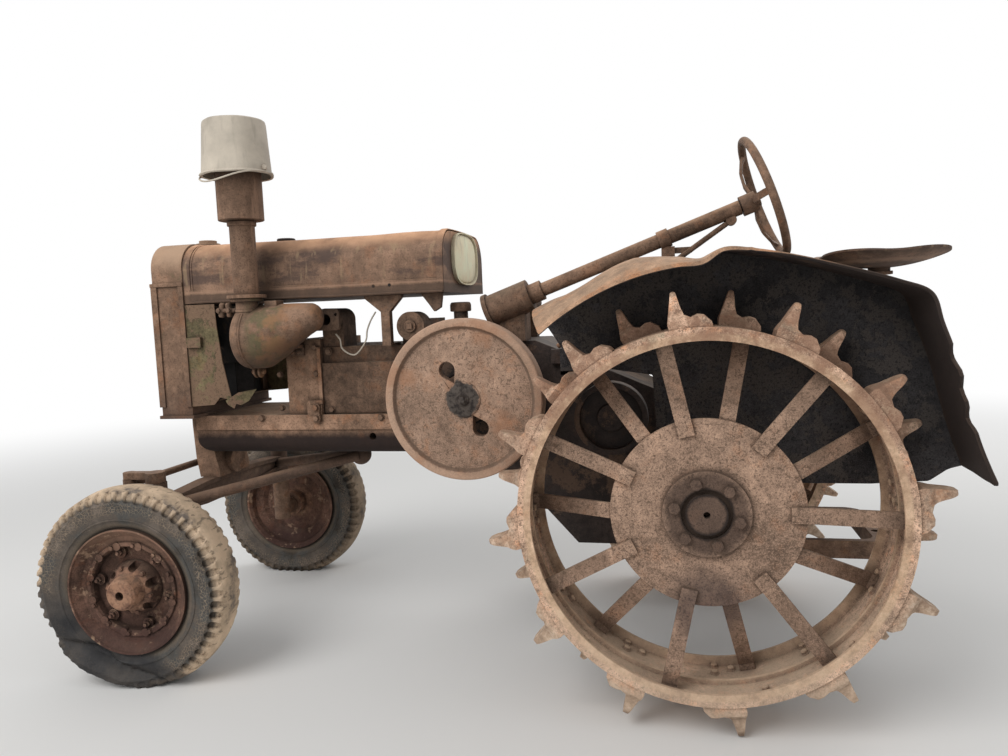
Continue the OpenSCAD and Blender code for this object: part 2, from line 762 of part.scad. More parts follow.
module seat_spring() {
  color("#54402f") at_axle() {
    top = seat_z - 92;
    p = [[270, platform_z + 6], [430, platform_z + 6], [500, platform_z + 44], [528, platform_z + 150],
         [506, platform_z + 290], [496, top - 120], [516, top - 40], [560, top], [seat_x + 36, top]];
    side_plate(-32, 32) polygon(strip(p, -12));
  }
}

// Drawbar

module drawbar() {
  color("#6b4a36") at_axle() {
    r = 70;
    w = case_w + 50;
    difference() {
      translate([0, 0, -250]) linear_extrude(60) difference() {
        translate([140, -w / 2]) rounded(drawbar_reach - 140, w, r);
        translate([140 - 1, -w / 2 + 25]) rounded(drawbar_reach - 140 - 44, w - 50, r - 25);
        translate([100, -w]) square([120, 2 * w]);
      }
      for (y = [-90, 0, 90])
        translate([drawbar_reach - 22, y, -260]) cylinder(d = drawbar_hole_d, h = 80);
    }
  }
}

// Steering

module steering_box() {
  color("#5d4332") at_axle() difference() {
    union() {
      translate([box_x, box_y, box_z]) rotate([0, 90 - column_slope, 0])
        translate([0, 0, -80]) cylinder(d = 112, h = 80 + column_start);
      translate([box_x, box_y, box_z]) rotate([0, 90 - column_slope, 0])
        translate([0, 0, -92]) cylinder(d = 128, h = 16);
      block([box_x - 60, box_y - 20, engine_top], [box_x + 50, box_y + 90, box_z]);
      bar_y(box_x, box_z, box_y, drop_y - 6, 72);
      block([box_x - 40, case_y - 60, engine_top], [box_x + 30, case_y - 10, box_z]);
    }
    bar_y(box_x, box_z, drop_y - 66, drop_y, drop_shaft_d + 2 * run_gap);
  }
}
drop_shaft_d = 36;

module along_column(s) {
  translate([box_x, box_y, box_z]) rotate([0, 90 - column_slope, 0]) translate([0, 0, s]) children();
}

module steering_column() {
  stay_end = column_point(column_start + column_len - 40, -column_d / 2 - 4);
  strap = column_point(clamp_s + 18, -column_d / 2 - 16);
  stay_at = (strap[2] - stay_foot[2]) / (stay_end[2] - stay_foot[2]);
  color("#6a4630") at_axle() difference() {
    union() {
      along_column(column_start) cylinder(d = column_d, h = column_len);
      along_column(column_start) cylinder(d = column_d + 22, h = 46);
      // Clamp, its lug and the strap from it to the stay
      along_column(clamp_s) cylinder(d = column_d + 14, h = 38);
      translate(strap + [-22, -14, -20]) cube([44, 28, 32]);
      block([strap[0], strap[1] - 3, strap[2] - 12], [stay_foot[0] + stay_at * (stay_end[0] - stay_foot[0]),
            strap[1] + 3, strap[2] + 8]);
      // Stay from the main case up to an eye under the column
      bar(stay_foot, stay_end, 18);
      translate(stay_end + [0, 15, 0]) rotate([90, 0, 0]) cylinder(d = 34, h = 30);
    }
    along_column(column_start + column_len - 90) cylinder(d = steer_shaft_d + 2 * run_gap, h = 91);
  }
}
clamp_s = 546;
stay_foot = [-480, box_y, 476];
function column_point(s, across) = [
  box_x + s * cos(column_slope) - across * sin(column_slope),
  box_y,
  box_z + s * sin(column_slope) + across * cos(column_slope)
];
steer_shaft_d = 28;

module steering_wheel() {
  hub = column_start + column_len + 4;
  dish = 75;
  color("#4a3a30") at_axle() along_column(hub) {
    translate([0, 0, -80]) cylinder(d = steer_shaft_d, h = 84);
    cylinder(d = 66, h = 50);
    translate([0, 0, 49]) cylinder(d = 40, h = 12);
    translate([0, 0, dish]) rotate_extrude() translate([(steer_wheel_d - steer_grip_d) / 2, 0])
      circle(d = steer_grip_d, $fn = 24);
    for (a = [30, 150, 270]) rotate([0, 0, a]) rotate([90, 0, 0]) translate([0, 0, -11]) linear_extrude(22)
      polygon(strip([[20, 38], [70, 32], [120, 38], [165, 56], [steer_wheel_d / 2 - 16, dish]], -9));
  }
}

module drop_arm() {
  color("#5a4030") at_axle() {
    bar_y(box_x, box_z, drop_y - 60, drop_y + 18, drop_shaft_d);
    bar_y(box_x, box_z, drop_y, drop_y + 18, 70);
    bar_y(box_x, box_z - drop_arm_len, drop_y, drop_y + 18, 52);
    side_plate(drop_y, drop_y + 18) translate([box_x - 19, box_z - drop_arm_len]) square([38, drop_arm_len]);
  }
}

// Turns with a front wheel: s is -1 on the left and 1 on the right
module steered(s) {
  translate([-wheelbase, s * kingpin_y, 0]) rotate([0, 0, steer_rest]) children();
}

function steered_point(s, p) = [
  -wheelbase + p[0] * cos(steer_rest) - p[1] * sin(steer_rest),
  s * kingpin_y + p[0] * sin(steer_rest) + p[1] * cos(steer_rest)
];

module drag_link() {
  a = steered_point(1, [0, -drag_arm_len]);
  front = [a[0], a[1], arm_z + arm_t + 18];
  rear = [box_x + a[0] + wheelbase, link_y, box_z - drop_arm_len];
  color("#5a4030") at_axle() {
    bar(front, rear, 26);
    translate([front[0], front[1], arm_z + arm_t + run_gap]) cylinder(d = 52, h = 36);
    translate(rear) sphere(d = 42);
    bar_y(rear[0], rear[2], drop_y + 18 + run_gap, rear[1], 24);
  }
}

module tie_rod() {
  l = steered_point(-1, [-tie_arm_len, 0]);
  r = steered_point(1, [-tie_arm_len, 0]);
  z = arm_z - run_gap - tie_eye_h;
  color("#5a4030") at_axle() {
    bar_y(l[0], z + tie_eye_h / 2, l[1], r[1], tie_rod_d);
    for (e = [l, r]) translate([e[0], e[1], z]) cylinder(d = 48, h = tie_eye_h);
  }
}

tie_eye_h = 40;

module knuckle(s) {
  steered(s) {
    translate([0, 0, spindle_z - 30]) cylinder(d = kingpin_d, h = arm_z + arm_t - spindle_z + 30);
    // Lower boss and spindle
    translate([0, 0, spindle_z - 44]) cylinder(d = 74, h = sleeve_bottom - run_gap - spindle_z + 44);
    scale([1, s, 1]) {
      bar_y(0, spindle_z, 0, wheel_offset - 60, 74);
      bar_y(0, spindle_z, 0, wheel_offset + 46, spindle_d);
    }
    // Arm for the tie rod
    translate([0, 0, sleeve_top + run_gap]) cylinder(d = 70, h = arm_z + arm_t - sleeve_top - run_gap);
    translate([-tie_arm_len, -18, arm_z]) cube([tie_arm_len, 36, arm_t]);
    translate([-tie_arm_len, 0, arm_z]) cylinder(d = 44, h = arm_t);
    // Arm for the drag link, on the right only
    if (s > 0) {
      translate([-18, -drag_arm_len, arm_z]) cube([36, drag_arm_len, arm_t]);
      translate([0, -drag_arm_len, arm_z]) cylinder(d = 48, h = arm_t);
    }
  }
}

module left_knuckle() {
  color("#5a4030") at_axle() knuckle(-1);
}

module right_knuckle() {
  color("#5a4030") at_axle() knuckle(1);
}

// Front wheels

module on_spindle(s) {
  steered(s) translate([0, s * wheel_offset, spindle_z]) scale([1, s, 1]) rotate([-90, 0, 0]) children();
}

module tyre_outline() {
  h = tyre_w / 2;
  polygon([
    [front_rim_d / 2 - 14, h - 34], [front_rim_d / 2 + 16, h - 16], [front_rim_d / 2 + 50, h - 2],
    [front_rim_d / 2 + 74, h], [tyre_r - 44, h - 4], [tyre_r - 20, h - 16], [tyre_r - 7, h - 34],
    [tyre_r - 3, 24], [tyre_r - 12, 22], [tyre_r - 12, 16], [tyre_r, 14],
    [tyre_r, -14], [tyre_r - 12, -16], [tyre_r - 12, -22], [tyre_r - 3, -24],
    [tyre_r - 7, -h + 34], [tyre_r - 20, -h + 16], [tyre_r - 44, -h + 4],
    [front_rim_d / 2 + 74, -h], [front_rim_d / 2 + 50, -h + 2], [front_rim_d / 2 + 16, -h + 16],
    [front_rim_d / 2 - 14, -h + 34]
  ]);
}

module front_tyre(s) {
  difference() {
    union() {
      on_spindle(s) rotate_extrude($fn = 96) tyre_outline();
      // The soft side wall bulges where it meets the ground
      if (s < 0) steered(s) translate([0, s * (wheel_offset + tyre_w / 2 - 14), -axle_z + 34])
        rotate([0, 90, 0]) rotate_extrude($fn = 32) polygon([
          [0, -170], [10, -140], [19, -90], [24, -40], [25, 0], [24, 40], [19, 90], [10, 140], [0, 170]]);
    }
    translate([-wheelbase - 1000, -1500, -axle_z - 200]) cube([2000, 3000, 200]);
  }
}

module left_front_tyre() {
  color("#55504a") at_axle() front_tyre(-1);
}

module right_front_tyre() {
  color("#55504a") at_axle() front_tyre(1);
}

module front_wheel(s) {
  r = front_rim_d / 2;
  h = tyre_w / 2;
  web = 4;
  on_spindle(s) difference() {
    union() {
      // Rim with its flanges, the clamp ring inside it and the web
      rotate_extrude($fn = 96) polygon([
        [r - 14.3, h - 34], [r - 0.3, h - 24], [r, h - 6], [r - 6, h - 6], [r - 9, h - 13], [r - 32, h - 38],
        [r - 50, h - 42], [r - 54, h - 36], [r - 66, h - 36], [r - 72, h - 44], [r - 76, 12], [96, web + 2],
        [60, web + 2], [60, -web], [r - 78, -web], [r - 60, -22], [r - 26, -34], [r - 20, -h + 20],
        [r - 9, -h + 6], [r, -h + 6], [r - 0.3, -h + 24], [r - 14.3, -h + 34]]);
      // Scalloped edge of the clamp ring
      for (i = [0:scallops - 1]) rotate([0, 0, (i + 0.5) * 360 / scallops])
        translate([r - 64, 0, h - 50]) cylinder(r = 14, h = 16);
      // Clamps that wedge the rim on the web
      for (i = [0:rim_clamps - 1]) rotate([0, 0, (i + 0.2) * 360 / rim_clamps])
        translate([r - 88, 0, 0]) cylinder(r = 20, h = 24);
      // Hub drum with a slope, barrel behind it and cap in front
      rotate_extrude() polygon([
        [0, -54], [56, -54], [60, -web - 1], [98, -web - 1], [98, 10], [82, 48], [64, 56], [62, 62],
        [54, 96], [46, 104], [0, 104]]);
      // Bolt through the cap's side
      rotate([0, 0, 200]) translate([50, 0, 80]) rotate([0, 90, 0]) cylinder(d = 18, h = 14);
    }
    // Pockets between the drum's ribs
    for (i = [0:rim_clamps - 1]) rotate([0, 0, (i + 0.7) * 360 / rim_clamps]) translate([84, 0, 16])
      cylinder(r = 16, h = 60);
    translate([0, 0, -55]) cylinder(d = spindle_d + 2 * run_gap, h = 55 + 46 + run_gap);
    translate([0, 0, 80]) cylinder(d = 30, h = 30);
  }
}

module left_front_wheel() {
  color("#6e3d2a") at_axle() front_wheel(-1);
}

module right_front_wheel() {
  color("#6e3d2a") at_axle() front_wheel(1);
}

// Rear wheels

// One lug at the bottom of the wheel: an upright spade on its heel and a curved toe along the rim.
// The outline is drawn as radius and place along the rim, and crossed with the spade's own outline.
module lug() {
  w = lug_w / 2;
  f = lug_foot;
  blade = lug_w / 3;
  rotate([0, 90, 0]) rotate([90, 0, 0]) intersection() {
    translate([0, 0, -w]) linear_extrude(2 * w) union() {
      polygon([
        [rim_r - 5, 24], [rim_r + 16, 27], [rim_r + 0.55 * lug_h, 17], [tip_r - tip_round, tip_round],
        [tip_r - tip_round, -tip_round], [rim_r + 0.55 * lug_h, -15], [rim_r + 36, -22],
        [rim_r + 27, -0.33 * f], [rim_r + 33, -0.5 * f], [rim_r + 29, -0.63 * f], [rim_r + 8, -0.78 * f],
        [rim_r - 6, -0.8 * f], [rim_r - 11, -0.74 * f], [rim_r - 5, -0.3 * f]
      ]);
      translate([tip_r - tip_round, 0]) circle(tip_round, $fn = 24);
    }
    rotate([90, 0, 0]) translate([0, 0, -f]) linear_extrude(2 * f) union() {
      polygon([
        [rim_r - 12, -w], [rim_r + 28, -w], [rim_r + 44, -blade], [tip_r - blade, -blade],
        [tip_r - blade, blade], [rim_r + 44, blade], [rim_r + 28, w], [rim_r - 12, w]
      ]);
      translate([tip_r - blade, 0]) circle(blade);
    }
  }
}

module rear_rim(s) {
  w = rear_rim_w;
  e = rim_edge_h;
  scale([1, s, 1]) {
    translate([0, rear_track / 2, 0]) rotate([-90, 0, 0]) rotate_extrude($fn = 128) polygon([
      [rim_r, -w / 2], [rim_r, w / 2], [rim_r - e, w / 2], [rim_r - e, w / 2 - 10],
      [rim_r - rim_band_t, w / 2 - 14], [rim_r - rim_band_t, 8], [rim_r - rim_band_t - 12, 6],
      [rim_r - rim_band_t - 12, -6], [rim_r - rim_band_t, -8], [rim_r - rim_band_t, -w / 2 + 14],
      [rim_r - e, -w / 2 + 10], [rim_r - e, -w / 2]
    ]);
    for (i = [0:lugs - 1]) {
      translate([0, rim_outer_y - lug_w / 2 - 6, 0]) rotate([0, i * 360 / lugs - tip_turn, 0]) lug();
      translate([0, rim_inner_y + lug_w / 2 + 6, 0]) rotate([0, i * 360 / lugs + tip_turn, 0]) lug();
    }
  }
}

module left_rear_rim() {
  color("#80604a") at_axle() rear_rim(-1);
}

module right_rear_rim() {
  color("#80604a") at_axle() rear_rim(1);
}

// A flat spoke, bent where it meets the disc and with a foot along the rim
module spoke(face_y, rim_y, foot) {
  r0 = disc_d / 2 - 46;
  r1 = rim_r - rim_band_t - 0.8;
  t = spoke_t;
  near = foot > 0 ? rim_y : rim_y + t;
  far = foot > 0 ? rim_y + t : rim_y;
  translate([0, 0, -spoke_w / 2]) linear_extrude(spoke_w) polygon(concat(
    [[disc_d / 2 + 6, foot > 0 ? face_y : face_y + t], [r1 - 20, near], [r1, near], [r1, near + foot],
     [r1 - t, near + foot], [r1 - t, far], [r1 - 20, far]],
    foot > 0
      ? [[disc_d / 2 + 6, face_y + t], [r0, face_y + t], [r0, face_y]]
      : [[disc_d / 2 + 6, face_y], [r0, face_y], [r0, face_y + t]]));
}

module rear_spider(s) {
  scale([1, s, 1]) difference() {
    union() {
      translate([0, disc_y - disc_t, 0]) rotate([-90, 0, 0]) cylinder(d = disc_d, h = disc_t, $fn = 96);
      for (i = [0:spokes - 1]) {
        front = i % 2 == 0;
        rotate([0, i * 360 / spokes, 0])
          if (front) spoke(disc_y - 1, rim_outer_y - 60, 28);
          else spoke(disc_y - disc_t - spoke_t + 1, rim_inner_y + 44, -20);
      }
      // Hub behind the disc and its flange in front
      rotate([-90, 0, 0]) rotate_extrude($fn = 96) polygon([
        [0, 60], [axle_d / 2, 60], [axle_d / 2, housing_end + 6], [95, housing_end + 6],
        [95, disc_y - disc_t - 30], [150, disc_y - disc_t - 12], [150, disc_y - disc_t + 4],
        [126, disc_y - 4], [126, disc_y + 14], [73, disc_y + 14], [73, disc_y + 4], [60, disc_y + 4],
        [60, disc_y + 22], [0, disc_y + 22]]);
      for (i = [0:5]) rotate([0, i * 60 + 12, 0]) translate([hub_bolt_pcd / 2, disc_y + 8, 0])
        rotate([-90, 0, 0]) hex_head(30, 22);
    }
    bar_y(0, 0, disc_y - 10, disc_y + 30, 20);
  }
}

module left_rear_spider() {
  color("#744a35") at_axle() rear_spider(-1);
}

module right_rear_spider() {
  color("#744a35") at_axle() rear_spider(1);
}

// Crankshaft with the flywheel on the left and the pulley on the right

module flywheel() {
  r = flywheel_d / 2;
  w = flywheel_w;
  color("#6f5642") at_axle() translate([-crank_x, 0, crank_z]) difference() {
    union() {
      translate([0, -flywheel_face, 0]) rotate([-90, 0, 0]) rotate_extrude($fn = 128) polygon([
        [0, -4], [60, -4], [66, 10], [r - 34, 12], [r - 26, 0], [r, 0], [r, w], [r - 30, w],
        [r - 36, w - 16], [90, w - 16], [84, w], [0, w]]);
      bar_y(0, 0, -flywheel_face + w - 1, pulley_y + pulley_w - 20, crank_d);
    }
    // Two hand holes
    for (a = [35, 232]) rotate([0, a, 0]) translate([104, -flywheel_face - 10, 0]) rotate([-90, 0, 0]) {
      cylinder(d = 34, h = w + 20);
      translate([0, -8, 0]) cube([44, 16, w + 20]);
    }
  }
}
pulley_y = 430 - pulley_w;

module belt_pulley() {
  r = pulley_d / 2;
  w = pulley_w;
  color("#6b4a36") at_axle() translate([-crank_x, pulley_y, crank_z]) rotate([-90, 0, 0]) difference() {
    union() {
      rotate_extrude($fn = 128) polygon([
        [r - 14, 0], [r - 4, 0], [r, w / 2], [r - 4, w], [r - 14, w], [r - 14, 50], [90, 50], [90, w - 10],
        [crank_d / 2 + 2, w - 10], [crank_d / 2 + 2, 6], [80, 6], [80, 34], [r - 14, 34]]);
      translate([0, 0, 6]) cylinder(r = crank_d / 2 + 4, h = w - 16);
    }
    translate([0, 0, -1]) cylinder(d = crank_d, h = w + 2);
    for (a = [0:60:300]) rotate([0, 0, a]) translate([(r + 80) / 2, 0, 20]) cylinder(d = 56, h = 60);
  }
}

module fan() {
  color("#3f352e") at_axle() translate([fan_x, 0, fan_z]) rotate([0, 90, 0]) {
    cylinder(d = fan_shaft_d, h = head_x + 15 - fan_x);
    translate([0, 0, -16]) cylinder(d = 84, h = 34);
    for (a = [0:90:270]) rotate([0, 0, a]) translate([30, 0, 0]) rotate([28, 0, 0])
      translate([0, -38, -2]) cube([fan_d / 2 - 34, 76, 4]);
  }
}

module control_levers() {
  color("#5a4030") at_axle() translate([-330, 60, 430]) {
    cylinder(d = 44, h = 26);
    bar([0, 0, 20], [150, 20, 300], 20);
    translate([150, 20, 300]) sphere(d = 40);
  }
}

main_frame();
main_case();
front_pedestal();
front_axle();
radiator_core();
radiator_frame();
radiator_top_tank();
fan_shroud();
fuel_tank();
tank_end_panel();
tank_caps();
tank_brackets();
air_stack();
stack_bucket();
air_cleaner();
cylinder_head();
engine_block();
manifold();
governor();
left_fender();
right_fender();
platform();
seat();
seat_spring();
drawbar();
steering_box();
steering_column();
control_levers();
flywheel();
belt_pulley();
fan();
steering_wheel();
drop_arm();
drag_link();
tie_rod();
left_knuckle();
right_knuckle();
left_front_tyre();
right_front_tyre();
left_front_wheel();
right_front_wheel();
left_rear_rim();
right_rear_rim();
left_rear_spider();
right_rear_spider();
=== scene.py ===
"""A vintage tractor on steel rear wheels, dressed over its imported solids."""

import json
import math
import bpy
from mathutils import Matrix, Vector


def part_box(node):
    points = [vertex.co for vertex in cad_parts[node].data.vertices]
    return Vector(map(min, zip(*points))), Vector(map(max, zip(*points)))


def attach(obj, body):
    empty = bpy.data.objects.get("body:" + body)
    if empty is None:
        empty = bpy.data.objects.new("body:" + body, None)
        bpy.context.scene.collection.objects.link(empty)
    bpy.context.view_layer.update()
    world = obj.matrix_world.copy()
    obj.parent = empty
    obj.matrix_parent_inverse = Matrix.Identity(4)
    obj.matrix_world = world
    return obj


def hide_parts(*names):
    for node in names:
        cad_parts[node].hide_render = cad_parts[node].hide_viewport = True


bl_info = {
    "name": "Vintage tractor dressing",
    "version": (1, 0, 0),
    "blender": (4, 5, 0),
    "location": "View3D > Sidebar > Tractor",
    "description": "Builds the rusted skins, tyres, bolts and pipes of a vintage tractor",
    "category": "Object",
}

import bmesh
import bpy
import numpy as np
from bpy.props import FloatProperty, FloatVectorProperty, IntProperty
from mathutils import Matrix

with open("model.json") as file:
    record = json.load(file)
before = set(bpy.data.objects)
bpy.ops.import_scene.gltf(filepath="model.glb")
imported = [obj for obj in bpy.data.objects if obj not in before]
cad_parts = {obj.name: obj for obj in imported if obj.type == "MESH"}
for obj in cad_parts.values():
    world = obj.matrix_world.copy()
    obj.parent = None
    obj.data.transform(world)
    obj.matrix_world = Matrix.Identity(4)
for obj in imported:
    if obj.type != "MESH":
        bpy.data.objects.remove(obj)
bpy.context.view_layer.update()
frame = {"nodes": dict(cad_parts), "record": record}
JOINTS = {joint["name"]: joint for joint in frame["record"]["behaviour"]["joints"]}
CRANK = JOINTS["crank_spin"]["pos_m"]
# The middle of the rear axle, from which the sizes below are measured
AXLE = np.array(JOINTS["left_rear_spin"]["pos_m"]) * [1, 0, 1]
LEFT, RIGHT, UP = (0, -1, 0), (0, 1, 0), (0, 0, 1)


# Sizes and colours that a user may change


def colour(name, text, value):
    """A colour setting with its name and description."""
    return FloatVectorProperty(name=name, description=text, default=value, subtype="COLOR", size=3, min=0, max=1)


def length(name, text, value):
    """A length setting in metres."""
    return FloatProperty(name=name, description=text, default=value, unit="LENGTH", subtype="DISTANCE", min=0)


class TractorColours(bpy.types.PropertyGroup):
    tank: colour("Tank", "Brown rust of the tank that is also the hood", (0.20, 0.12, 0.078))
    sheet: colour("Sheet", "Bright orange-brown rust of the fenders' crowns", (0.44, 0.27, 0.17))
    cast: colour("Castings", "Rusty cast iron of the crankcase and the radiator", (0.19, 0.115, 0.075))
    case: colour("Main case", "Dark oily iron of the gear case", (0.045, 0.031, 0.026))
    wheel: colour("Wheel steel", "Dusty rust of the rear wheels", (0.36, 0.235, 0.165))
    front_rim: colour("Front rims", "Red-brown rust of the front wheels", (0.145, 0.078, 0.054))
    rubber: colour("Rubber", "Old grey rubber of the front tyres", (0.098, 0.080, 0.066))
    bucket: colour("Bucket", "Pale galvanised metal of the upturned bucket", (0.50, 0.44, 0.36))
    panel: colour("End panel", "Faded green-white paint of the tank's end", (0.97, 0.86, 0.60))
    old_green: colour("Old green", "What is left of the green paint", (0.135, 0.108, 0.056))
    mud: colour("Dry mud", "Pale dry mud and dust", (0.52, 0.39, 0.27))


class TractorSizes(bpy.types.PropertyGroup):
    edge: length("Casting edge", "Rounding of the castings' edges", 0.004)
    sheet_edge: length("Sheet edge", "Rounding of the sheets' edges", 0.0015)
    dent: length("Dents", "Depth of the dents in the tank", 0.004)
    bolt: length("Bolt", "Width across the flats of a common bolt head", 0.019)
    wire: length("Wire", "Thickness of the loose wires", 0.005)
    tyre_lugs: IntProperty(name="Tyre lugs", description="Shoulder lugs round a front tyre", default=56, min=12, max=80)


class TractorStage(bpy.types.PropertyGroup):
    sky: FloatProperty(name="Sky", description="Strength of the even light", default=0.55, min=0, max=2)
    key: FloatProperty(name="Key light", description="Power of the large soft lamp", default=230, min=0, unit="POWER")
    side: FloatProperty(name="Side light", description="Power of the far lamp", default=90, min=0, unit="POWER")
    floor: colour("Floor", "Plain pale floor", (0.80, 0.79, 0.77))


def settings():
    """The three groups of settings on the scene."""
    scene = bpy.context.scene
    return scene.tractor_colours, scene.tractor_sizes, scene.tractor_stage


# Shapes: each is a pair of arrays, its points and its faces

# Radius of a closed end, and the distance under which points become one
TIP, MERGE = 1e-5, 2.5e-5


def place(x, y, z):
    """A point, or an array of them, in millimetres from the middle of the rear axle, as metres in the frame."""
    return AXLE + np.stack(np.broadcast_arrays(x, y, z), axis=-1) / 1000


def corners(node):
    """The low and the high corner of a node's box."""
    return (np.array(corner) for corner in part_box(node))


def circle(sides):
    """Cosines and sines of equal steps round a full turn."""
    turn = np.linspace(0, 2 * math.pi, sides, endpoint=False)
    return np.stack([np.cos(turn), np.sin(turn)], 1)


def bell(value, middle, width):
    """1 at the middle and falling off on both sides, as e to the minus square of the distance in widths."""
    return np.exp(-(((value - middle) / width) ** 2))


def rise(value, low, high):
    """A straight rise from 0 at low to 1 at high."""
    return np.clip((value - low) / (high - low), 0, 1)


def grid(points, close_rows=False, close_columns=False):
    """A surface over a grid of points: each face joins (i, j) to (i + 1, j), (i + 1, j + 1) and (i, j + 1)."""
    rows, columns = points.shape[:2]
    i, j = np.meshgrid(np.arange(rows - (not close_rows)), np.arange(columns - (not close_columns)), indexing="ij")
    near, far = i * columns, ((i + 1) % rows) * columns
    right = (j + 1) % columns
    return points.reshape(-1, 3), np.stack([near + j, far + j, far + right, near + right], axis=-1).reshape(-1, 4)


def closed(points):
    """A grid of rings with the mean point of its first and of its last ring added, so that both ends are shut."""
    middle = points.mean(axis=1, keepdims=True)
    first, last = (np.broadcast_to(middle[k][None], points[:1].shape) for k in (0, -1))
    return np.concatenate([first, points, last])


def spline(points, count):
    """A smooth curve: each stretch is the cubic whose slope at a point is half the step between its neighbours."""
    p = np.asarray(points, float)
    p = np.vstack([2 * p[0] - p[1], p, 2 * p[-1] - p[-2]])
    t = np.linspace(0, len(p) - 3, count)
    k = np.minimum(t.astype(int), len(p) - 4)
    f = (t - k)[:, None]
    a, b, c, d = p[k], p[k + 1], p[k + 2], p[k + 3]
    return 0.5 * (2 * b + (c - a) * f + (2 * a - 5 * b + 4 * c - d) * f**2 + (3 * b - a - 3 * c + d) * f**3)


def unit(v):
    """Vectors of length one."""
    v = np.asarray(v, float)
    return v / np.maximum(np.linalg.norm(v, axis=-1, keepdims=True), 1e-9)


def run(path):
    """The way along a path to each of its points: the lengths of its stretches added up."""
    return np.cumsum(np.linalg.norm(np.diff(path, axis=0, prepend=path[:1]), axis=1))


def tube(path, radius, sides=10, lean=(0.3, 0.2, 0.93)):
    """A round rod: at each point of the path a circle lies across the path's direction; the ends close to a point."""
    along = unit(np.gradient(path, axis=0))
    path, along = (np.vstack([row[:1], row, row[-1:]]) for row in (path, along))
    radius = np.concatenate([[TIP], np.full(len(path) - 2, radius), [TIP]])
    side = unit(np.cross(along, np.array(lean)))
    up = np.cross(side, along)
    turn = circle(sides)
    ring = turn[None, :, :1] * side[:, None] + turn[None, :, 1:] * up[:, None]
    return grid(path[:, None] + radius[:, None, None] * ring, False, True)


def axes_of(axis):
    """An axis of length one and two directions across it."""
    axis = unit(axis)
    across = unit(np.cross(axis, [0.0, 0.0, 1.0] if abs(axis[2]) < 0.9 else [1.0, 0.0, 0.0]))
    return axis, across, np.cross(axis, across)


def turned(profile, centre, axis, sides=64, wobble=None, close=False):
    """A turned form: (radius, along) pairs in metres carried round the axis, each radius plus wobble(turn, radius)."""
    axis, across, other = axes_of(axis)
    profile = np.asarray(profile, float)
    turn = circle(sides)
    radius = np.repeat(np.maximum(profile[:, :1], TIP), sides, axis=1)
    if wobble is not None:
        radius = radius + wobble(np.linspace(0, 2 * math.pi, sides, endpoint=False)[None, :], profile[:, :1])
    ring = turn[:, :1] * across + turn[:, 1:] * other
    points = np.asarray(centre, float) + radius[..., None] * ring[None] + profile[:, 1:, None] * axis
    return grid(points, close, True)


def repeated(shape, places):
    """The same shape at each place: its points plus each place, and its faces renumbered."""
    points, faces = shape
    places = np.asarray(places, float).reshape(-1, 3)
    starts = (np.arange(len(places)) * len(points))[:, None, None]
    return (places[:, None] + points[None]).reshape(-1, 3), (faces[None] + starts).reshape(-1, faces.shape[1])


def bolts(places, axis, flats, height=None):
    """Hex heads with a chamfer, each on a round washer, standing on the places along the axis."""
    height = height or 0.6 * flats
    r, foot = flats / math.sqrt(3), -0.002
    head = turned([(0, foot), (r, foot), (r, 0.78 * height), (0.84 * r, height), (0, height)], (0, 0, 0), axis, 6)
    wide, thin = 1.25 * r, 0.12 * flats
    washer = turned([(0, foot), (wide, foot), (wide, thin), (0, thin)], (0, 0, 0), axis, 20)
    return [repeated(head, places), repeated(washer, places)]


def bar_box(low, high):
    """A box between two corners in millimetres from the rear axle."""
    a, b = place(*low), place(*high)
    corner = np.array([[0, 0, 0], [1, 0, 0], [1, 1, 0], [0, 1, 0], [0, 0, 1], [1, 0, 1], [1, 1, 1], [0, 1, 1]])
    faces = np.array([[3, 2, 1, 0], [4, 5, 6, 7], [0, 1, 5, 4], [1, 2, 6, 5], [2, 3, 7, 6], [3, 0, 4, 7]])
    return a + corner * (b - a), faces


def waves(x, y, seed, scale=1.0):
    """A smooth random field: a quarter of the sum of eight sine waves of random direction, length and phase."""
    rng = np.random.default_rng(seed)
    angle, phase, size = rng.uniform(0, 2 * math.pi, 8), rng.uniform(0, 2 * math.pi, 8), rng.uniform(0.5, 1.6, 8)
    total = sum(np.sin(b * scale * (np.cos(a) * x + np.sin(a) * y) + p) for a, p, b in zip(angle, phase, size))
    return total / 4


# Objects


def build(name, shapes, finish, replaces=(), sharp=30, bevel=0, body="tractor"):
    """One object from its shapes: doubles are merged, faces turned outwards and edges over the sharp angle kept."""
    mesh = bpy.data.meshes.new(name)
    points = np.vstack([shape[0] for shape in shapes])
    starts = np.cumsum([0] + [len(shape[0]) for shape in shapes])
    loops = np.concatenate([(shape[1] + start).ravel() for start, shape in zip(starts, shapes)])
    sizes = np.concatenate([np.full(len(shape[1]), shape[1].shape[1]) for shape in shapes])
    mesh.vertices.add(len(points))
    mesh.vertices.foreach_set("co", points.astype(np.float32).ravel())
    mesh.loops.add(len(loops))
    mesh.loops.foreach_set("vertex_index", loops.astype(np.int32))
    mesh.polygons.add(len(sizes))
    mesh.polygons.foreach_set("loop_start", np.concatenate([[0], np.cumsum(sizes)[:-1]]).astype(np.int32))
    mesh.update(calc_edges=True)
    mesh.validate()
    form = bmesh.new()
    form.from_mesh(mesh)
    bmesh.ops.remove_doubles(form, verts=form.verts, dist=MERGE)
    bmesh.ops.recalc_face_normals(form, faces=form.faces)
    form.to_mesh(mesh)
    form.free()
    settle(name, mesh, body, finish, replaces, sharp, bevel)


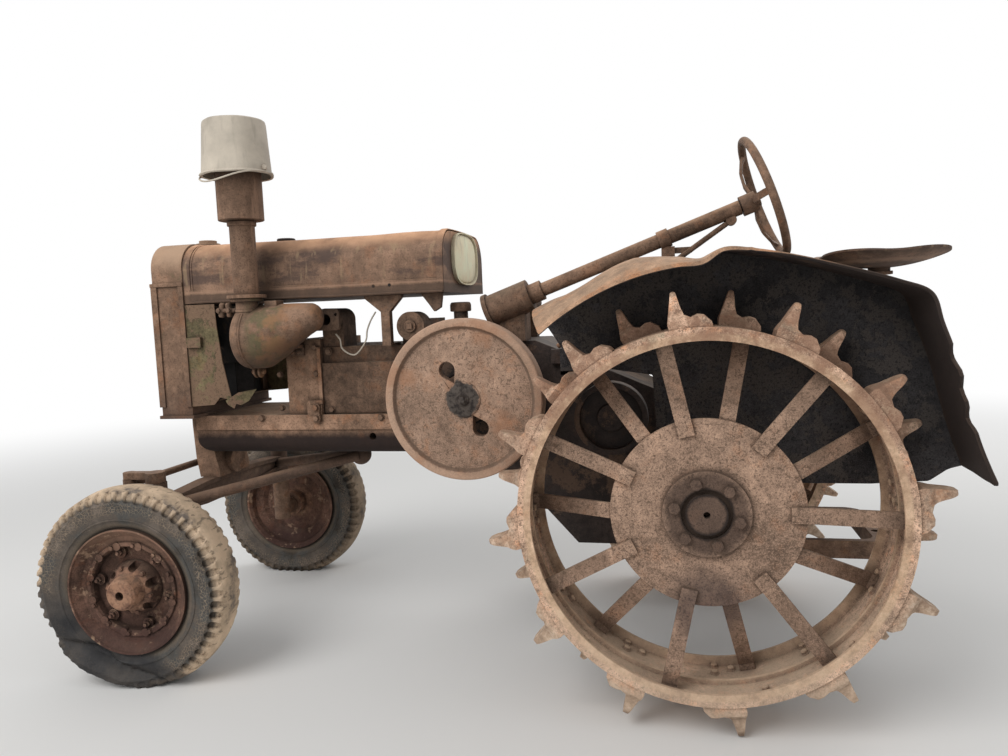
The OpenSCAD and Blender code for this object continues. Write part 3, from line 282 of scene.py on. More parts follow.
def settle(name, mesh, body, finish, replaces, sharp, bevel):
    obj = bpy.data.objects.new(name, mesh)
    bpy.context.scene.collection.objects.link(obj)
    mesh.materials.clear()
    mesh.materials.append(made(finish))
    mesh.shade_smooth()
    if bevel:
        edge = obj.modifiers.new("edges", "BEVEL")
        edge.width, edge.segments, edge.limit_method = bevel, 2, "ANGLE"
        edge.angle_limit = math.radians(sharp)
        edge.harden_normals = True
    else:
        mesh.set_sharp_from_angle(angle=math.radians(sharp))
    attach(obj, body)
    if replaces:
        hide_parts(*replaces)


def body_of(node):
    """The body that carries a node."""
    return next(body for body, nodes in frame["record"]["behaviour"]["bodies"].items() if node in nodes)


def cast_copy(node, finish, bevel):
    """A copy of a node with its triangles merged into flat faces and its edges rounded, in the node's place."""
    mesh = frame["nodes"][node].data.copy()
    form = bmesh.new()
    form.from_mesh(mesh)
    bmesh.ops.remove_doubles(form, verts=form.verts, dist=2e-5)
    bmesh.ops.dissolve_degenerate(form, edges=form.edges, dist=1e-5)
    bmesh.ops.dissolve_limit(form, angle_limit=math.radians(0.8), verts=form.verts, edges=form.edges)
    form.to_mesh(mesh)
    form.free()
    if mesh.attributes.get("custom_normal"):
        mesh.attributes.remove(mesh.attributes["custom_normal"])
    mesh.name = node + "_skin"
    settle(node + "_skin", mesh, body_of(node), finish, (node,), 32, bevel)


# Finishes


class Value:
    """The output of a finish's node, on which plain arithmetic adds Math nodes."""

    def __init__(self, finish, socket):
        self.finish, self.socket = finish, socket

    def math(self, operation, other=0.0):
        """One Math node on this value and another, or a number."""
        return self.finish.value("Math", "Value", {0: self, 1: other}, operation=operation)

    def __mul__(self, other):
        return self.math("MULTIPLY", other)

    def __add__(self, other):
        return self.math("ADD", other)

    def __sub__(self, other):
        return self.math("SUBTRACT", other)

    def __abs__(self):
        return self.math("ABSOLUTE")

    def step(self, low, high):
        """0 below low, 1 above high and a smooth rise between; the other way round where low is the larger."""
        values = {"Value": self, "From Min": low, "From Max": high}
        return self.finish.value("MapRange", "Result", values, interpolation_type="SMOOTHSTEP")

    def ragged(self, amount, scale=30.0, shift=0.0):
        """The value with noise added, so that its steps have ragged edges."""
        return self + (self.finish.noise(scale, 6, 0.7, shift) - 0.5) * amount

    def ramp(self, *stops):
        """Colours laid along the value, each at its position."""
        ramp = self.finish.node("ValToRGB", {"Fac": self})
        band = ramp.color_ramp.elements
        while len(band) < len(stops):
            band.new(0.5)
        for element, (position, tone) in zip(band, stops):
            element.position, element.color = position, (*tone, 1)
        return Value(self.finish, ramp.outputs["Color"])


class Finish:
    """One material in the making: a Principled shader, its Object coordinates and its colour so far."""

    def __init__(self, name, base=None):
        self.material, self.base = bpy.data.materials.new(name), base
        self.material.use_nodes = True
        self.tree = self.material.node_tree
        self.shader = self.tree.nodes["Principled BSDF"]
        self.shader.inputs["Specular IOR Level"].default_value = 0.3
        self.where = self.value("TexCoord", "Object")

    def node(self, kind, values=None, **options):
        """Adds a node; values are numbers or what feeds its inputs."""
        added = self.tree.nodes.new("ShaderNode" + kind)
        for key, value in options.items():
            setattr(added, key, value)
        for key, value in (values or {}).items():
            self.feed(added.inputs[key], value)
        return added

    def value(self, kind, output, values=None, **options):
        """Adds a node and gives one of its outputs."""
        return Value(self, self.node(kind, values, **options).outputs[output])

    def feed(self, socket, value):
        """Links a value to a socket, or writes a number on it."""
        value = getattr(value, "socket", value)
        if isinstance(value, bpy.types.NodeSocket):
            self.tree.links.new(value, socket)
        elif socket.type == "RGBA":
            socket.default_value = (*value, 1.0)
        else:
            socket.default_value = value

    def noise(self, scale, detail, rough, shift=0.0, stretch=(1, 1, 1)):
        """Soft noise from 0 to 1; scale counts its lumps per metre, stretch squeezes it along an axis."""
        start = (shift, shift * 0.7, shift * 1.3)
        at = self.value("Mapping", "Vector", {"Vector": self.where, "Location": start, "Scale": stretch})
        return self.value("TexNoise", "Fac", {"Vector": at, "Scale": scale, "Detail": detail, "Roughness": rough})

    def lay(self, over, *shares):
        """Lays a colour, or a tone of the base colour, over the colour so far, by the product of the shares."""
        if isinstance(over, float):
            over = shade(self.base, over)
        mix = self.node("Mix", data_type="RGBA")
        for socket, value in (("Factor", math.prod(shares[1:], start=shares[0])), (6, self.hue), (7, over)):
            self.feed(mix.inputs[socket], value)
        self.hue = Value(self, mix.outputs[2])

    def vector(self, operation, a, b, output="Vector"):
        """One step of arithmetic on two vectors."""
        values = {0: a} if b is None else {0: a, 1: b}
        return self.value("VectorMath", output, values, operation=operation)

    def up(self):
        """How far a face looks up, from 0 to 1."""
        return self.value("SeparateXYZ", "Z", {"Vector": self.value("TexCoord", "Normal")})

    def coordinate(self, letter):
        """One of the Object coordinates."""
        return self.value("SeparateXYZ", letter, {"Vector": self.where})

    def reach(self, centre):
        """Distance from the line through the centre that runs across the tractor."""
        away = self.vector("ADD", self.where, tuple(-c for c in centre))
        return self.vector("LENGTH", self.vector("MULTIPLY", away, (1, 0, 1)), None, "Value")

    def nook(self, distance):
        """1 in the open and less in corners nearer than the distance."""
        return self.value("AmbientOcclusion", "AO", {"Distance": distance}, samples=5)

    def bump(self, height, strength, distance, under=None):
        """Relief from a height, over the relief under it; the depth is in metres."""
        values = {"Height": height, "Strength": strength, "Distance": distance}
        if under is not None:
            values["Normal"] = under
        return self.value("Bump", "Normal", values)

    def done(self, rough, normal):
        """The material, with its colour, roughness and relief fed to the shader."""
        for key, value in (("Base Color", self.hue), ("Roughness", rough), ("Normal", normal)):
            self.feed(self.shader.inputs[key], value)
        return self.material


def shade(colour, factor):
    """A darker or lighter tone of a colour."""
    return tuple(min(1.0, c * factor) for c in colour)


def rust(name, base, grain, contrast, speckle, patch, dust, corner_dirt_and_shade, streaks, rough, relief, shift,
         warm=0.35, nook=0.09, marks=None):
    """Weathered metal: broad clouds of tone and finer mottling, an orange bloom, streaks that run down, patches of
    another coat, pits and specks, dust on what looks up, the piece's own marks, and dirt and painted shade in the
    corners."""
    f = Finish(name, base)
    broad = f.noise(3.2 * grain, 8, 0.62, shift)
    middle = f.noise(23 * grain, 7, 0.66, shift + 3)
    fine = f.noise(290, 4, 0.68, shift + 7)
    specks = f.noise(620, 2, 0.5, shift + 11)
    tones = ((-0.15, 0.42), (-0.04, 0.85), (0.04, 1.15), (0.15, 1.75))
    stops = ((0.5 + away * (1 / contrast), shade(base, tone)) for away, tone in tones)
    f.hue = (broad * 0.6 + middle * 0.4).ramp(*stops)
    orange = (min(1, base[0] * 1.7), base[1] * 1.12, base[2] * 0.72)
    f.lay(orange, f.noise(9 * grain, 6, 0.7, shift + 17).step(0.52, 0.66), warm)
    f.lay(0.38, f.noise(26, 6, 0.6, shift + 23, (1, 1, 0.09)).step(0.48, 0.70), streaks)
    if patch:
        coat, share, scale = patch
        edge = 0.72 - 0.36 * share
        f.lay(coat, (f.noise(scale, 9, 0.68, shift + 31) + fine * 0.12).step(edge, edge + 0.05))
    f.lay(1.9, fine.step(0.46, 0.66), 0.45 * speckle)
    f.lay(0.34, fine.step(0.52, 0.34), 0.60 * speckle)
    f.lay(0.22, specks.step(0.62, 0.72), 0.7 * speckle)
    f.lay(0.30, f.noise(118, 3, 0.6, shift + 13).step(0.555, 0.625), 0.75 * speckle)
    if dust:
        f.lay(dust[0], f.up().step(0.25, 0.95) * f.noise(11, 6, 0.65, shift + 41).step(0.30, 0.62), dust[1])
    if marks:
        marks(f)
    # Dirt and painted shade in the corners: ambient occlusion darkens the colour where parts crowd in
    f.lay(0.18, f.nook(nook).step(0.95, 0.35), corner_dirt_and_shade)
    lumps = f.bump(fine, 0.55 * relief, 0.0011, f.bump(middle, 0.35 * relief, 0.004))
    return f.done(fine * 0.24 + (rough - 0.12), f.bump(specks, 0.3 * relief, 0.0005, lumps))


# Marks that belong to one piece; a number in the place of a colour is a tone of the finish's base colour


def tank_marks(f):
    """A top lightened by rust bloom and painted highlight, dark clouds along the side, pale runs down from them, a dark
    strip under the fold and a painted highlight along the fold's bead.
    """
    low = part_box("fuel_tank")[0][2]
    z = f.coordinate("Z")
    side = z.step(low + 0.05, low + 0.08) * z.ragged(0.07, 9.0, 3.0).step(low + 0.215, low + 0.165)
    f.lay((0.070, 0.044, 0.036), side, f.noise(3.1, 8, 0.66, 12.4, (0.75, 1, 1.9)).step(0.47, 0.56), 0.80)
    f.lay((0.36, 0.25, 0.145), side, f.noise(42, 5, 0.55, 9.0, (1, 1, 0.10)).step(0.55, 0.66), 0.45)
    # Rust bloom and painted highlight: the top and shoulders are lightened to pale orange
    bloom = f.noise(14, 6, 0.6, 2.0).ramp((0.3, (0.50, 0.270, 0.155)), (0.7, (0.86, 0.49, 0.285)))
    f.lay(bloom, z.step(low + 0.16, low + 0.232), f.noise(6, 7, 0.65, 21.0).step(0.26, 0.48), 0.92)
    f.lay(0.36, z.ragged(0.010, 40.0).step(low + 0.036, low + 0.030), 0.75)
    # Painted highlight: a bright line along the fold's bead
    f.lay(1.9, abs(z - (low + 0.041)).ragged(0.008, 50.0).step(0.006, 0.001), 0.5)


def frame_marks(f):
    """The oil pan under the band is dark with grease, most of all at its bottom."""
    split = AXLE[2] + 0.195
    f.lay((0.017, 0.010, 0.009), f.coordinate("Z").ragged(0.05, 12.0).step(split + 0.004, split - 0.045), 0.97)


def flywheel_marks(f):
    """A paler outer ring, an orange bloom, a dark line inside the rim and a ragged greasy patch round the hub."""
    reach = f.reach(CRANK)
    f.lay(1.75, reach.step(0.225, 0.262), 0.55)
    f.lay((0.38, 0.185, 0.10), f.noise(5, 6, 0.6, 4.0).step(0.52, 0.64), 0.5)
    f.lay(0.3, abs(reach - 0.238).ragged(0.012, 60.0).step(0.008, 0.003), 0.6)
    grease = f.noise(60, 4, 0.6).ramp((0.4, (0.028, 0.022, 0.020)), (0.6, (0.095, 0.078, 0.066)))
    f.lay(grease, reach.ragged(0.055, 26.0, 6.0).step(0.064, 0.054))


def wheel_marks(f):
    """Grease round the hub bolts, a black ring round the hub's end, a dark spot low on the disc, darker spokes."""
    reach = f.reach(AXLE)
    f.lay((0.060, 0.038, 0.030), reach.ragged(0.06, 18.0, 5.0).step(0.150, 0.105), 0.78)
    f.lay((0.016, 0.012, 0.011), abs(reach - 0.066).ragged(0.020, 30.0).step(0.017, 0.007), 0.9)
    low = f.reach(AXLE - [0.0, 0.0, 0.29])
    f.lay((0.062, 0.043, 0.040), low.ragged(0.12, 12.0, 8.0).step(0.17, 0.06), 0.75)
    f.lay((0.135, 0.085, 0.058), reach.step(0.305, 0.33), f.noise(4.5, 4, 0.5, 15.0).step(0.44, 0.58), 0.38)


def rim_marks(f):
    """Tan mud inside, redder rust on the upper half, and dried mud on the lugs, palest on the low ones."""
    reach, z = f.reach(AXLE), f.coordinate("Z")
    inside = ((0.36, (0.30, 0.19, 0.12)), (0.50, (0.62, 0.42, 0.27)), (0.66, (0.86, 0.62, 0.42)))
    f.lay(f.noise(19, 8, 0.74, 6.0).ramp(*inside), reach.step(0.530, 0.520), 0.72)
    mud = ((0.36, (0.15, 0.095, 0.066)), (0.50, (0.44, 0.31, 0.22)), (0.66, (0.78, 0.64, 0.50)))
    f.lay(f.noise(34, 7, 0.74, 9.0).ramp(*mud), reach.step(0.546, 0.575) * z.step(1.25, 0.25), 0.92)
    high = z.ragged(0.5, 5.0).step(0.60, 1.05) * f.noise(13, 8, 0.74, 14.0).step(0.38, 0.56)
    f.lay((0.32, 0.175, 0.112), high, 0.72)
    f.lay((0.64, 0.48, 0.35), z.ragged(0.25, 8.0).step(0.55, 0.15), 0.40)


def front_marks(f):
    """Dark wet rust in the rim's bottom, a tan bloom at its top and an orange hub cap."""
    z = f.coordinate("Z").ragged(0.12, 14.0, 7.0)
    f.lay((0.045, 0.020, 0.018), z.step(0.30, 0.17), 0.72)
    f.lay((0.30, 0.18, 0.12), z.step(0.42, 0.55), 0.45)
    f.lay((0.40, 0.26, 0.17), f.noise(21, 7, 0.7, 3.0).step(0.56, 0.64), 0.7)
    cap = f.reach(JOINTS["left_front_spin"]["pos_m"]).ragged(0.05, 26.0, 5.0).step(0.088, 0.058)
    f.lay((0.44, 0.245, 0.150), cap, f.noise(38, 7, 0.74, 8.0).step(0.36, 0.60), 0.72)


def crown_marks(f):
    """Painted shade, near black, on what looks down, and dark towards the torn tail; only the front and top stay
    bright.
    """
    # Painted shade: faces that look down get a near-black, bluish colour
    under = f.noise(16, 7, 0.66, 5.0).ramp((0.38, (0.016, 0.017, 0.022)), (0.66, (0.095, 0.062, 0.045)))
    f.lay(under, f.up().step(0.02, -0.12))
    back = f.coordinate("X").ragged(0.25, 9.0, 2.0).step(AXLE[0] + 0.10, AXLE[0] + 0.46)
    f.lay((0.040, 0.029, 0.025), back, 0.94)


def radiator_marks(f):
    """A pale bloom on the top tank and a dark lower edge."""
    z = f.coordinate("Z").ragged(0.10, 9.0, 4.0)
    f.lay((0.52, 0.35, 0.235), z.step(1.42, 1.52), 0.72)
    f.lay((0.075, 0.050, 0.040), z.step(1.02, 0.93), 0.5)


def cleaner_marks(f):
    """Green paint left on the round body, orange rust on the outlet and painted shade under both."""
    band = abs(f.coordinate("X") - (AXLE[0] - 1.49)).ragged(0.10, 13.0, 2.0).step(0.085, 0.030)
    f.lay((0.115, 0.105, 0.050), band, f.noise(17, 7, 0.7, 11.0).step(0.42, 0.54), 0.75)
    f.lay((0.33, 0.16, 0.075), f.noise(8, 6, 0.65, 19.0).step(0.50, 0.62), 0.6)
    # Painted shade: faces that look down are darkened
    f.lay(0.3, f.up().step(-0.1, -0.9), 0.7)


def stack_marks(f):
    """The pipe's upper end is darker, and pale runs go down all of it."""
    f.lay(0.45, f.coordinate("Z").ragged(0.03, 20.0).step(1.62, 1.66), 0.45)
    f.lay(1.8, f.noise(55, 5, 0.6, 3.0, (1, 1, 0.07)).step(0.52, 0.64), 0.5)


def finishes(c):
    """All metal finishes by name, from the table of what rust() takes."""
    mud, green, tank, cast, wheel, bright = (tuple(v) for v in (c.mud, c.old_green, c.tank, c.cast, c.wheel, c.sheet))
    # The grey is painted shade: the near-black of the fender plates
    grey, black, iron = (0.050, 0.046, 0.047), (0.02, 0.017, 0.016), tuple(c.case)
    # Each row: key, material, base, grain, contrast, speckle, patch (coat, share, scale) and dust (coat, share); then
    # the corner dirt and painted shade, streaks, roughness, relief, shift and, where they differ, warmth, depth of the
    # nooks and the marks
    table = (
        ("tank", "tank_rust", tank, 0.8, 1.5, 0.5, (green, 0.14, 4.0), (shade(bright, 0.95), 0.6),
         0.6, 0.3, 0.72, 0.6, 5, 0.35, 0.09, tank_marks),
        ("crown", "crown_rust", bright, 1.0, 1.2, 0.45, None, (mud, 0.25),
         0.6, 0.25, 0.8, 0.8, 9, 0.4, 0.05, crown_marks),
        ("cast", "cast_rust", shade(cast, 1.3), 1.2, 1.4, 0.6, None, (shade(mud, 0.8), 0.5),
         0.85, 0.35, 0.85, 1.2, 13),
        ("frame", "frame_rust", shade(cast, 1.6), 1.1, 1.4, 0.6, None, (mud, 0.4),
         0.85, 0.4, 0.85, 1.1, 14, 0.35, 0.09, frame_marks),
        ("engine", "engine_rust", shade(cast, 0.78), 1.5, 1.6, 0.6, None, (shade(mud, 0.6), 0.4),
         0.9, 0.5, 0.8, 1.3, 61),
        ("case", "case_grease", iron, 1.4, 1.5, 0.55, (shade(cast, 0.7), 0.35, 5.0), (shade(mud, 0.45), 0.35),
         0.8, 0.3, 0.62, 1.3, 17),
        ("radiator", "radiator_rust", shade(cast, 1.05), 1.1, 1.5, 0.55, (green, 0.12, 5.0),
         (shade(bright, 0.95), 0.75), 0.8, 0.45, 0.85, 0.9, 19, 0.35, 0.09, radiator_marks),
        ("shroud", "shroud_green", shade(green, 1.05), 1.6, 1.5, 0.6, (tank, 0.60, 8.0), None,
         0.8, 0.5, 0.8, 0.8, 23),
        ("stack", "stack_rust", shade(tank, 0.95), 1.3, 1.1, 0.6, None, None,
         0.7, 0.45, 0.85, 0.8, 29, 0.2, 0.09, stack_marks),
        ("column", "column_rust", shade(tank, 1.1), 1.3, 1.4, 0.6, None, (shade(bright, 1.1), 0.9),
         0.7, 0.3, 0.85, 0.8, 30, 0.3),
        ("cleaner", "cleaner_rust", shade(tank, 0.9), 1.3, 1.6, 0.5, None, (shade(bright, 0.8), 0.6),
         0.8, 0.4, 0.75, 0.8, 31, 0.35, 0.09, cleaner_marks),
        ("wheel", "wheel_rust", wheel, 1.5, 1.25, 0.95, (shade(cast, 0.8), 0.16, 9.0), (mud, 0.5),
         0.75, 0.12, 0.9, 1.3, 37, 0.2, 0.09, wheel_marks),
        ("rim", "rim_rust", shade(wheel, 1.6), 2.2, 1.5, 0.95, (mud, 0.24, 9.0), (mud, 0.65),
         0.7, 0.15, 0.92, 1.5, 43, 0.5, 0.09, rim_marks),
        ("front_rim", "front_rim_rust", tuple(c.front_rim), 1.9, 1.5, 0.6, None, (shade(mud, 0.6), 0.35),
         0.85, 0.3, 0.82, 1.2, 47, 0.35, 0.09, front_marks),
        ("flywheel", "flywheel_rust", shade(wheel, 0.92), 1.8, 1.0, 0.8, None, None,
         0.7, 0.12, 0.88, 1.1, 53, 0.3, 0.09, flywheel_marks),
        ("bare", "bare_steel", cast, 2.0, 1.4, 0.5, None, (shade(bright, 0.7), 0.6),
         0.8, 0.3, 0.7, 0.8, 59),
        # The fender plates' near-black grey is painted shade
        ("plate", "plate_grey", grey, 1.8, 1.3, 1.0, ((0.082, 0.069, 0.061), 0.50, 15.0), None,
         0.5, 0.25, 0.88, 1.0, 65, 0.15),
        ("dark", "dark_inside", black, 1.5, 1.2, 0.4, (shade(cast, 0.35), 0.2, 6.0), None,
         0.6, 0.2, 0.85, 0.8, 67),
    )
    return {key: rust(*row) for key, *row in table}


def pale_metal(name, base, stain, shift):
    """Weathered pale sheet: cloudy grey with scratches that run down, rust in dots, and dirt and painted shade in the
    corners.
    """
    f = Finish(name, base)
    clouds, dots = f.noise(7, 8, 0.6, shift), f.noise(75, 6, 0.75, shift + 9)
    f.hue = clouds.ramp((0.3, shade(base, 0.68)), (0.5, base), (0.7, shade(base, 1.22)))
    f.lay(0.55, f.noise(60, 5, 0.6, shift + 5, (1, 1, 0.12)).step(0.52, 0.7), 0.35)
    f.lay(stain, dots.step(0.63, 0.72), 0.75)
    # Dirt and painted shade in the corners, darkened by ambient occlusion
    f.lay(shade(stain, 0.5), f.nook(0.04).step(0.95, 0.4), 0.7)
    return f.done(clouds * 0.3 + 0.5, f.bump(dots, 0.3, 0.001, f.bump(clouds, 0.3, 0.004)))


def rubber(name, base, dust, centre, axis, flat, shift):
    """Old rubber: a grey side wall with pale fine cracks, a tan worn tread and shoulders with short sipes, darker on
    the tyre that stands up, and a black wet bottom on the flat one."""
    f = Finish(name, base)
    pale = 1.0 if flat else 0.42
    # Distance along the axle, out from the wheel's middle, and distance from the axle
    away = f.vector("ADD", f.where, tuple(-c for c in centre))
    along = abs(f.vector("DOT_PRODUCT", away, tuple(axis), "Value"))
    whole = f.vector("LENGTH", away, None, "Value")
    reach = (whole * whole - along * along).math("SQRT")
    clouds, grit = f.noise(7, 7, 0.62, shift), f.noise(240, 4, 0.7, shift + 3)
    f.hue = clouds.ramp((0.34, shade(base, 0.5)), (0.47, (0.078, 0.076, 0.071)), (0.55, base), (0.68, shade(base, 1.7)))
    cells = f.value("TexVoronoi", "Distance", {"Vector": f.where, "Scale": 95.0}, feature="DISTANCE_TO_EDGE")
    crack = cells.step(0.06, 0.015)
    f.lay(shade(dust, 0.75), crack, abs(reach - 0.298).ragged(0.06, 15.0, shift).step(0.030, 0.006), 0.55)
    f.lay(shade(dust, 0.7), grit.step(0.5, 0.68), 0.16)
    f.lay(shade(dust, 0.42), reach.ragged(0.02, 30.0, shift).step(0.252, 0.232), 0.45)
    worn = f.noise(10, 7, 0.66, shift + 9).ramp(
        (0.34, shade(base, 2.2 * pale)), (0.44, shade(dust, 1.05 * pale)), (0.60, shade(dust, 1.55 * pale)))
    sipes = f.noise(75, 3, 0.5, shift + 12, (1, 0.35, 1)).step(0.60, 0.65)
    side, f.hue = f.hue, worn
    f.lay(0.8, sipes, 0.5)
    worn, f.hue = f.hue, side
    f.lay(worn, along.step(0.0705, 0.060), reach.step(0.325, 0.338), 0.88)
    f.lay(shade(dust, 1.25 * pale), abs(along - 0.0665).step(0.009, 0.003), reach.step(0.315, 0.330), 0.7)
    # Painted shade in the corners and grooves, darkened by ambient occlusion
    f.lay(0.22, f.nook(0.030).step(0.84, 0.46), 0.85)
    down = (f.coordinate("Z") + f.coordinate("X") * 0.57).ragged(0.05, 11.0, shift)
    low = down.step(-0.485, -0.535) if flat else down.step(-0.60, -0.72)
    f.lay(clouds.ramp((0.4, (0.014, 0.014, 0.016)), (0.62, (0.050, 0.044, 0.040))), low, 0.88 if flat else 0.35)
    deep = f.bump(crack, 0.3, -0.0012, f.bump(clouds, 0.3, 0.003))
    return f.done(low * (-0.3 if flat else 0.0) + 0.93, f.bump(grit, 0.4, 0.0008, f.bump(sipes, 0.4, -0.0015, deep)))


MATERIALS = {}


def made(name):
    """A finish by name; all are made once, when the first is asked for."""
    if not MATERIALS:
        c = settings()[0]
        MATERIALS.update(finishes(c))
        MATERIALS["bucket"] = pale_metal("bucket_zinc", tuple(c.bucket), shade(c.cast, 1.3), 71.0)
        MATERIALS["panel"] = pale_metal("end_panel_paint", tuple(c.panel), shade(c.cast, 1.2), 73.0)
        for side in ("left", "right"):
            joint = JOINTS[side + "_front_spin"]
            MATERIALS[side + "_rubber"] = rubber(side + "_old_rubber", tuple(c.rubber), tuple(c.mud), joint["pos_m"],
                                                 unit(joint["axis"]), side == "left", 79.0)
    return MATERIALS[name]


# Pieces


class TRACTOR_OT_stage(bpy.types.Operator):
    """Sets up the camera, the soft lamps, the even light and the pale floor"""

    bl_idname = "tractor.stage"
    bl_label = "Stage"

    def execute(self, context):
        stage, scene = settings()[2], context.scene
        self.camera(scene)
        lamps = (("key_lamp", (-2.6, -4.6, 5.2), stage.key, 4.5), ("side_lamp", (3.0, 4.2, 4.6), stage.side, 4.0))
        for name, at, power, size in lamps:
            lamp = bpy.data.lights.new(name, "AREA")
            lamp.shape, lamp.size, lamp.energy = "DISK", size, power
            back = unit(np.array(at) - np.array([0.0, 0.0, 0.8]))
            flat = unit(np.cross(UP, back))
            self.put(scene, name, lamp, (flat, np.cross(back, flat), back), at)
        self.sky(scene, stage.sky)
        self.floor(scene, tuple(stage.floor))
        scene.view_settings.view_transform = "Standard"
        return {"FINISHED"}

    def put(self, scene, name, data, axes, at):
        """An object with its own right, up and back directions at a place."""
        holder = bpy.data.objects.new(name, data)
        turn = Matrix(axes).transposed().to_4x4()
        turn.translation = at
        holder.matrix_world = turn
        scene.collection.objects.link(holder)
        return holder

    def camera(self, scene):
        """The camera that was fitted to the photograph: its turn to the left, its tilt down and its roll."""
        yaw, pitch, roll = math.radians(12.8386), math.radians(5.1357), math.radians(-2.3547)
        ahead = np.array([-math.sin(yaw) * math.cos(pitch), math.cos(yaw) * math.cos(pitch), -math.sin(pitch)])
        level = np.array([math.cos(yaw), math.sin(yaw), 0.0])
        over = np.cross(level, ahead)
        right = level * math.cos(roll) + over * math.sin(roll)
        up = over * math.cos(roll) - level * math.sin(roll)
        lens = bpy.data.cameras.new("camera")
        lens.sensor_fit, lens.sensor_width, lens.lens = "HORIZONTAL", 36.0, 26.92
        lens.clip_start, lens.clip_end = 0.05, 200.0
        scene.camera = self.put(scene, "camera", lens, (right, up, -ahead), AXLE + [-0.0813, -2.8149, 0.6103])

    def sky(self, scene, strength):
        """Even white light on the object; the camera, mirrors and glass see plain white."""
        world = bpy.data.worlds.new("studio")
        world.use_nodes = True
        tree = world.node_tree
        tree.nodes.clear()
        path, blend, out = (tree.nodes.new("ShaderNode" + kind) for kind in ("LightPath", "MixShader", "OutputWorld"))
        seen = path.outputs["Is Camera Ray"]
        for ray in ("Is Glossy Ray", "Is Transmission Ray"):
            either = tree.nodes.new("ShaderNodeMath")
            either.operation, either.use_clamp = "ADD", True
            tree.links.new(seen, either.inputs[0])
            tree.links.new(path.outputs[ray], either.inputs[1])
            seen = either.outputs[0]
        tree.links.new(seen, blend.inputs["Fac"])
        for slot, tone, power in ((1, (0.97, 0.985, 1.0, 1), strength), (2, (1, 1, 1, 1), 1.0)):
            light = tree.nodes.new("ShaderNodeBackground")
            light.inputs["Color"].default_value, light.inputs["Strength"].default_value = tone, power
            tree.links.new(light.outputs[0], blend.inputs[slot])
        tree.links.new(blend.outputs[0], out.inputs["Surface"])
        scene.world = world

    def floor(self, scene, tone):
        """A round floor, plain near the object and fading to white far from it."""
        points, faces = turned([(0, 0), (6, 0), (14, 0), (60, 0)], (0, 0, 0), UP, 64)
        mesh = bpy.data.meshes.new("floor")
        mesh.from_pydata(points.tolist(), [], faces.tolist())
        floor = bpy.data.objects.new("floor", mesh)
        f = Finish("floor_plain")
        f.shader.inputs["Base Color"].default_value = (*tone, 1)
        f.shader.inputs["Roughness"].default_value = 0.9
        far = f.vector("LENGTH", f.where, None, "Value").step(3.0, 9.0)
        glow = f.node("Emission", {"Color": (1.0, 1.0, 1.0), "Strength": 1.0})
        blend = f.node("MixShader", {"Fac": far * f.value("LightPath", "Is Camera Ray")})
        f.tree.links.new(f.shader.outputs[0], blend.inputs[1])
        f.tree.links.new(glow.outputs[0], blend.inputs[2])
        f.tree.links.new(blend.outputs[0], f.tree.nodes["Material Output"].inputs["Surface"])
        mesh.materials.append(f.material)
        scene.collection.objects.link(floor)


class TRACTOR_OT_castings(bpy.types.Operator):
    """Rounds the edges of the cast parts and gives them rusty and greasy iron"""

    bl_idname = "tractor.castings"
    bl_label = "Castings"

    def execute(self, context):
        edge, thin = settings()[1].edge, settings()[1].sheet_edge
        for slot, finish, bevel, nodes in (
            ("cast", "frame", edge, ("main_frame",)),
            ("case", "case", edge, ("main_case",)),
            ("cast", "cast", edge, ("front_pedestal",)),
            ("cast", "radiator", edge, ("front_axle", "radiator_frame")),
            ("cast", "radiator", 2 * edge, ("radiator_top_tank",)),
            ("case", "cast", edge, ("cylinder_head",)),
            ("case", "engine", edge, ("engine_block", "manifold", "governor", "steering_box")),
            ("sheet", "column", thin, ("steering_column",)),
            ("cast", "bare", thin, ("tank_brackets",)),
            ("sheet", "stack", thin, ("air_stack",)),
            ("green_rust", "shroud", thin, ("fan_shroud",)),
            ("cast", "bare", thin, ("drop_arm",)),
            ("cast", "bare", edge, ("drawbar",)),
            ("sheet", "dark", thin, ("platform",)),
            ("cast", "bare", thin, ("seat_spring", "left_knuckle", "right_knuckle")),
            ("grip", "bare", thin, ("control_levers",)),
        ):
            for node in nodes:
                cast_copy(node, finish, bevel)
        # Nodes that stay as they are get only their finish
        for finish, nodes in (
            ("dark", ("radiator_core", "fan")),
            ("bare", ("belt_pulley", "steering_wheel", "drag_link", "tie_rod")),
            ("rim", ("left_rear_rim", "right_rear_rim")),
            ("wheel", ("left_rear_spider", "right_rear_spider")),
            ("front_rim", ("left_front_wheel", "right_front_wheel")),
            ("tank", ("seat",)),
        ):
            for node in nodes:
                for holder in frame["nodes"][node].material_slots:
                    holder.material = made(finish)
        return {"FINISHED"}


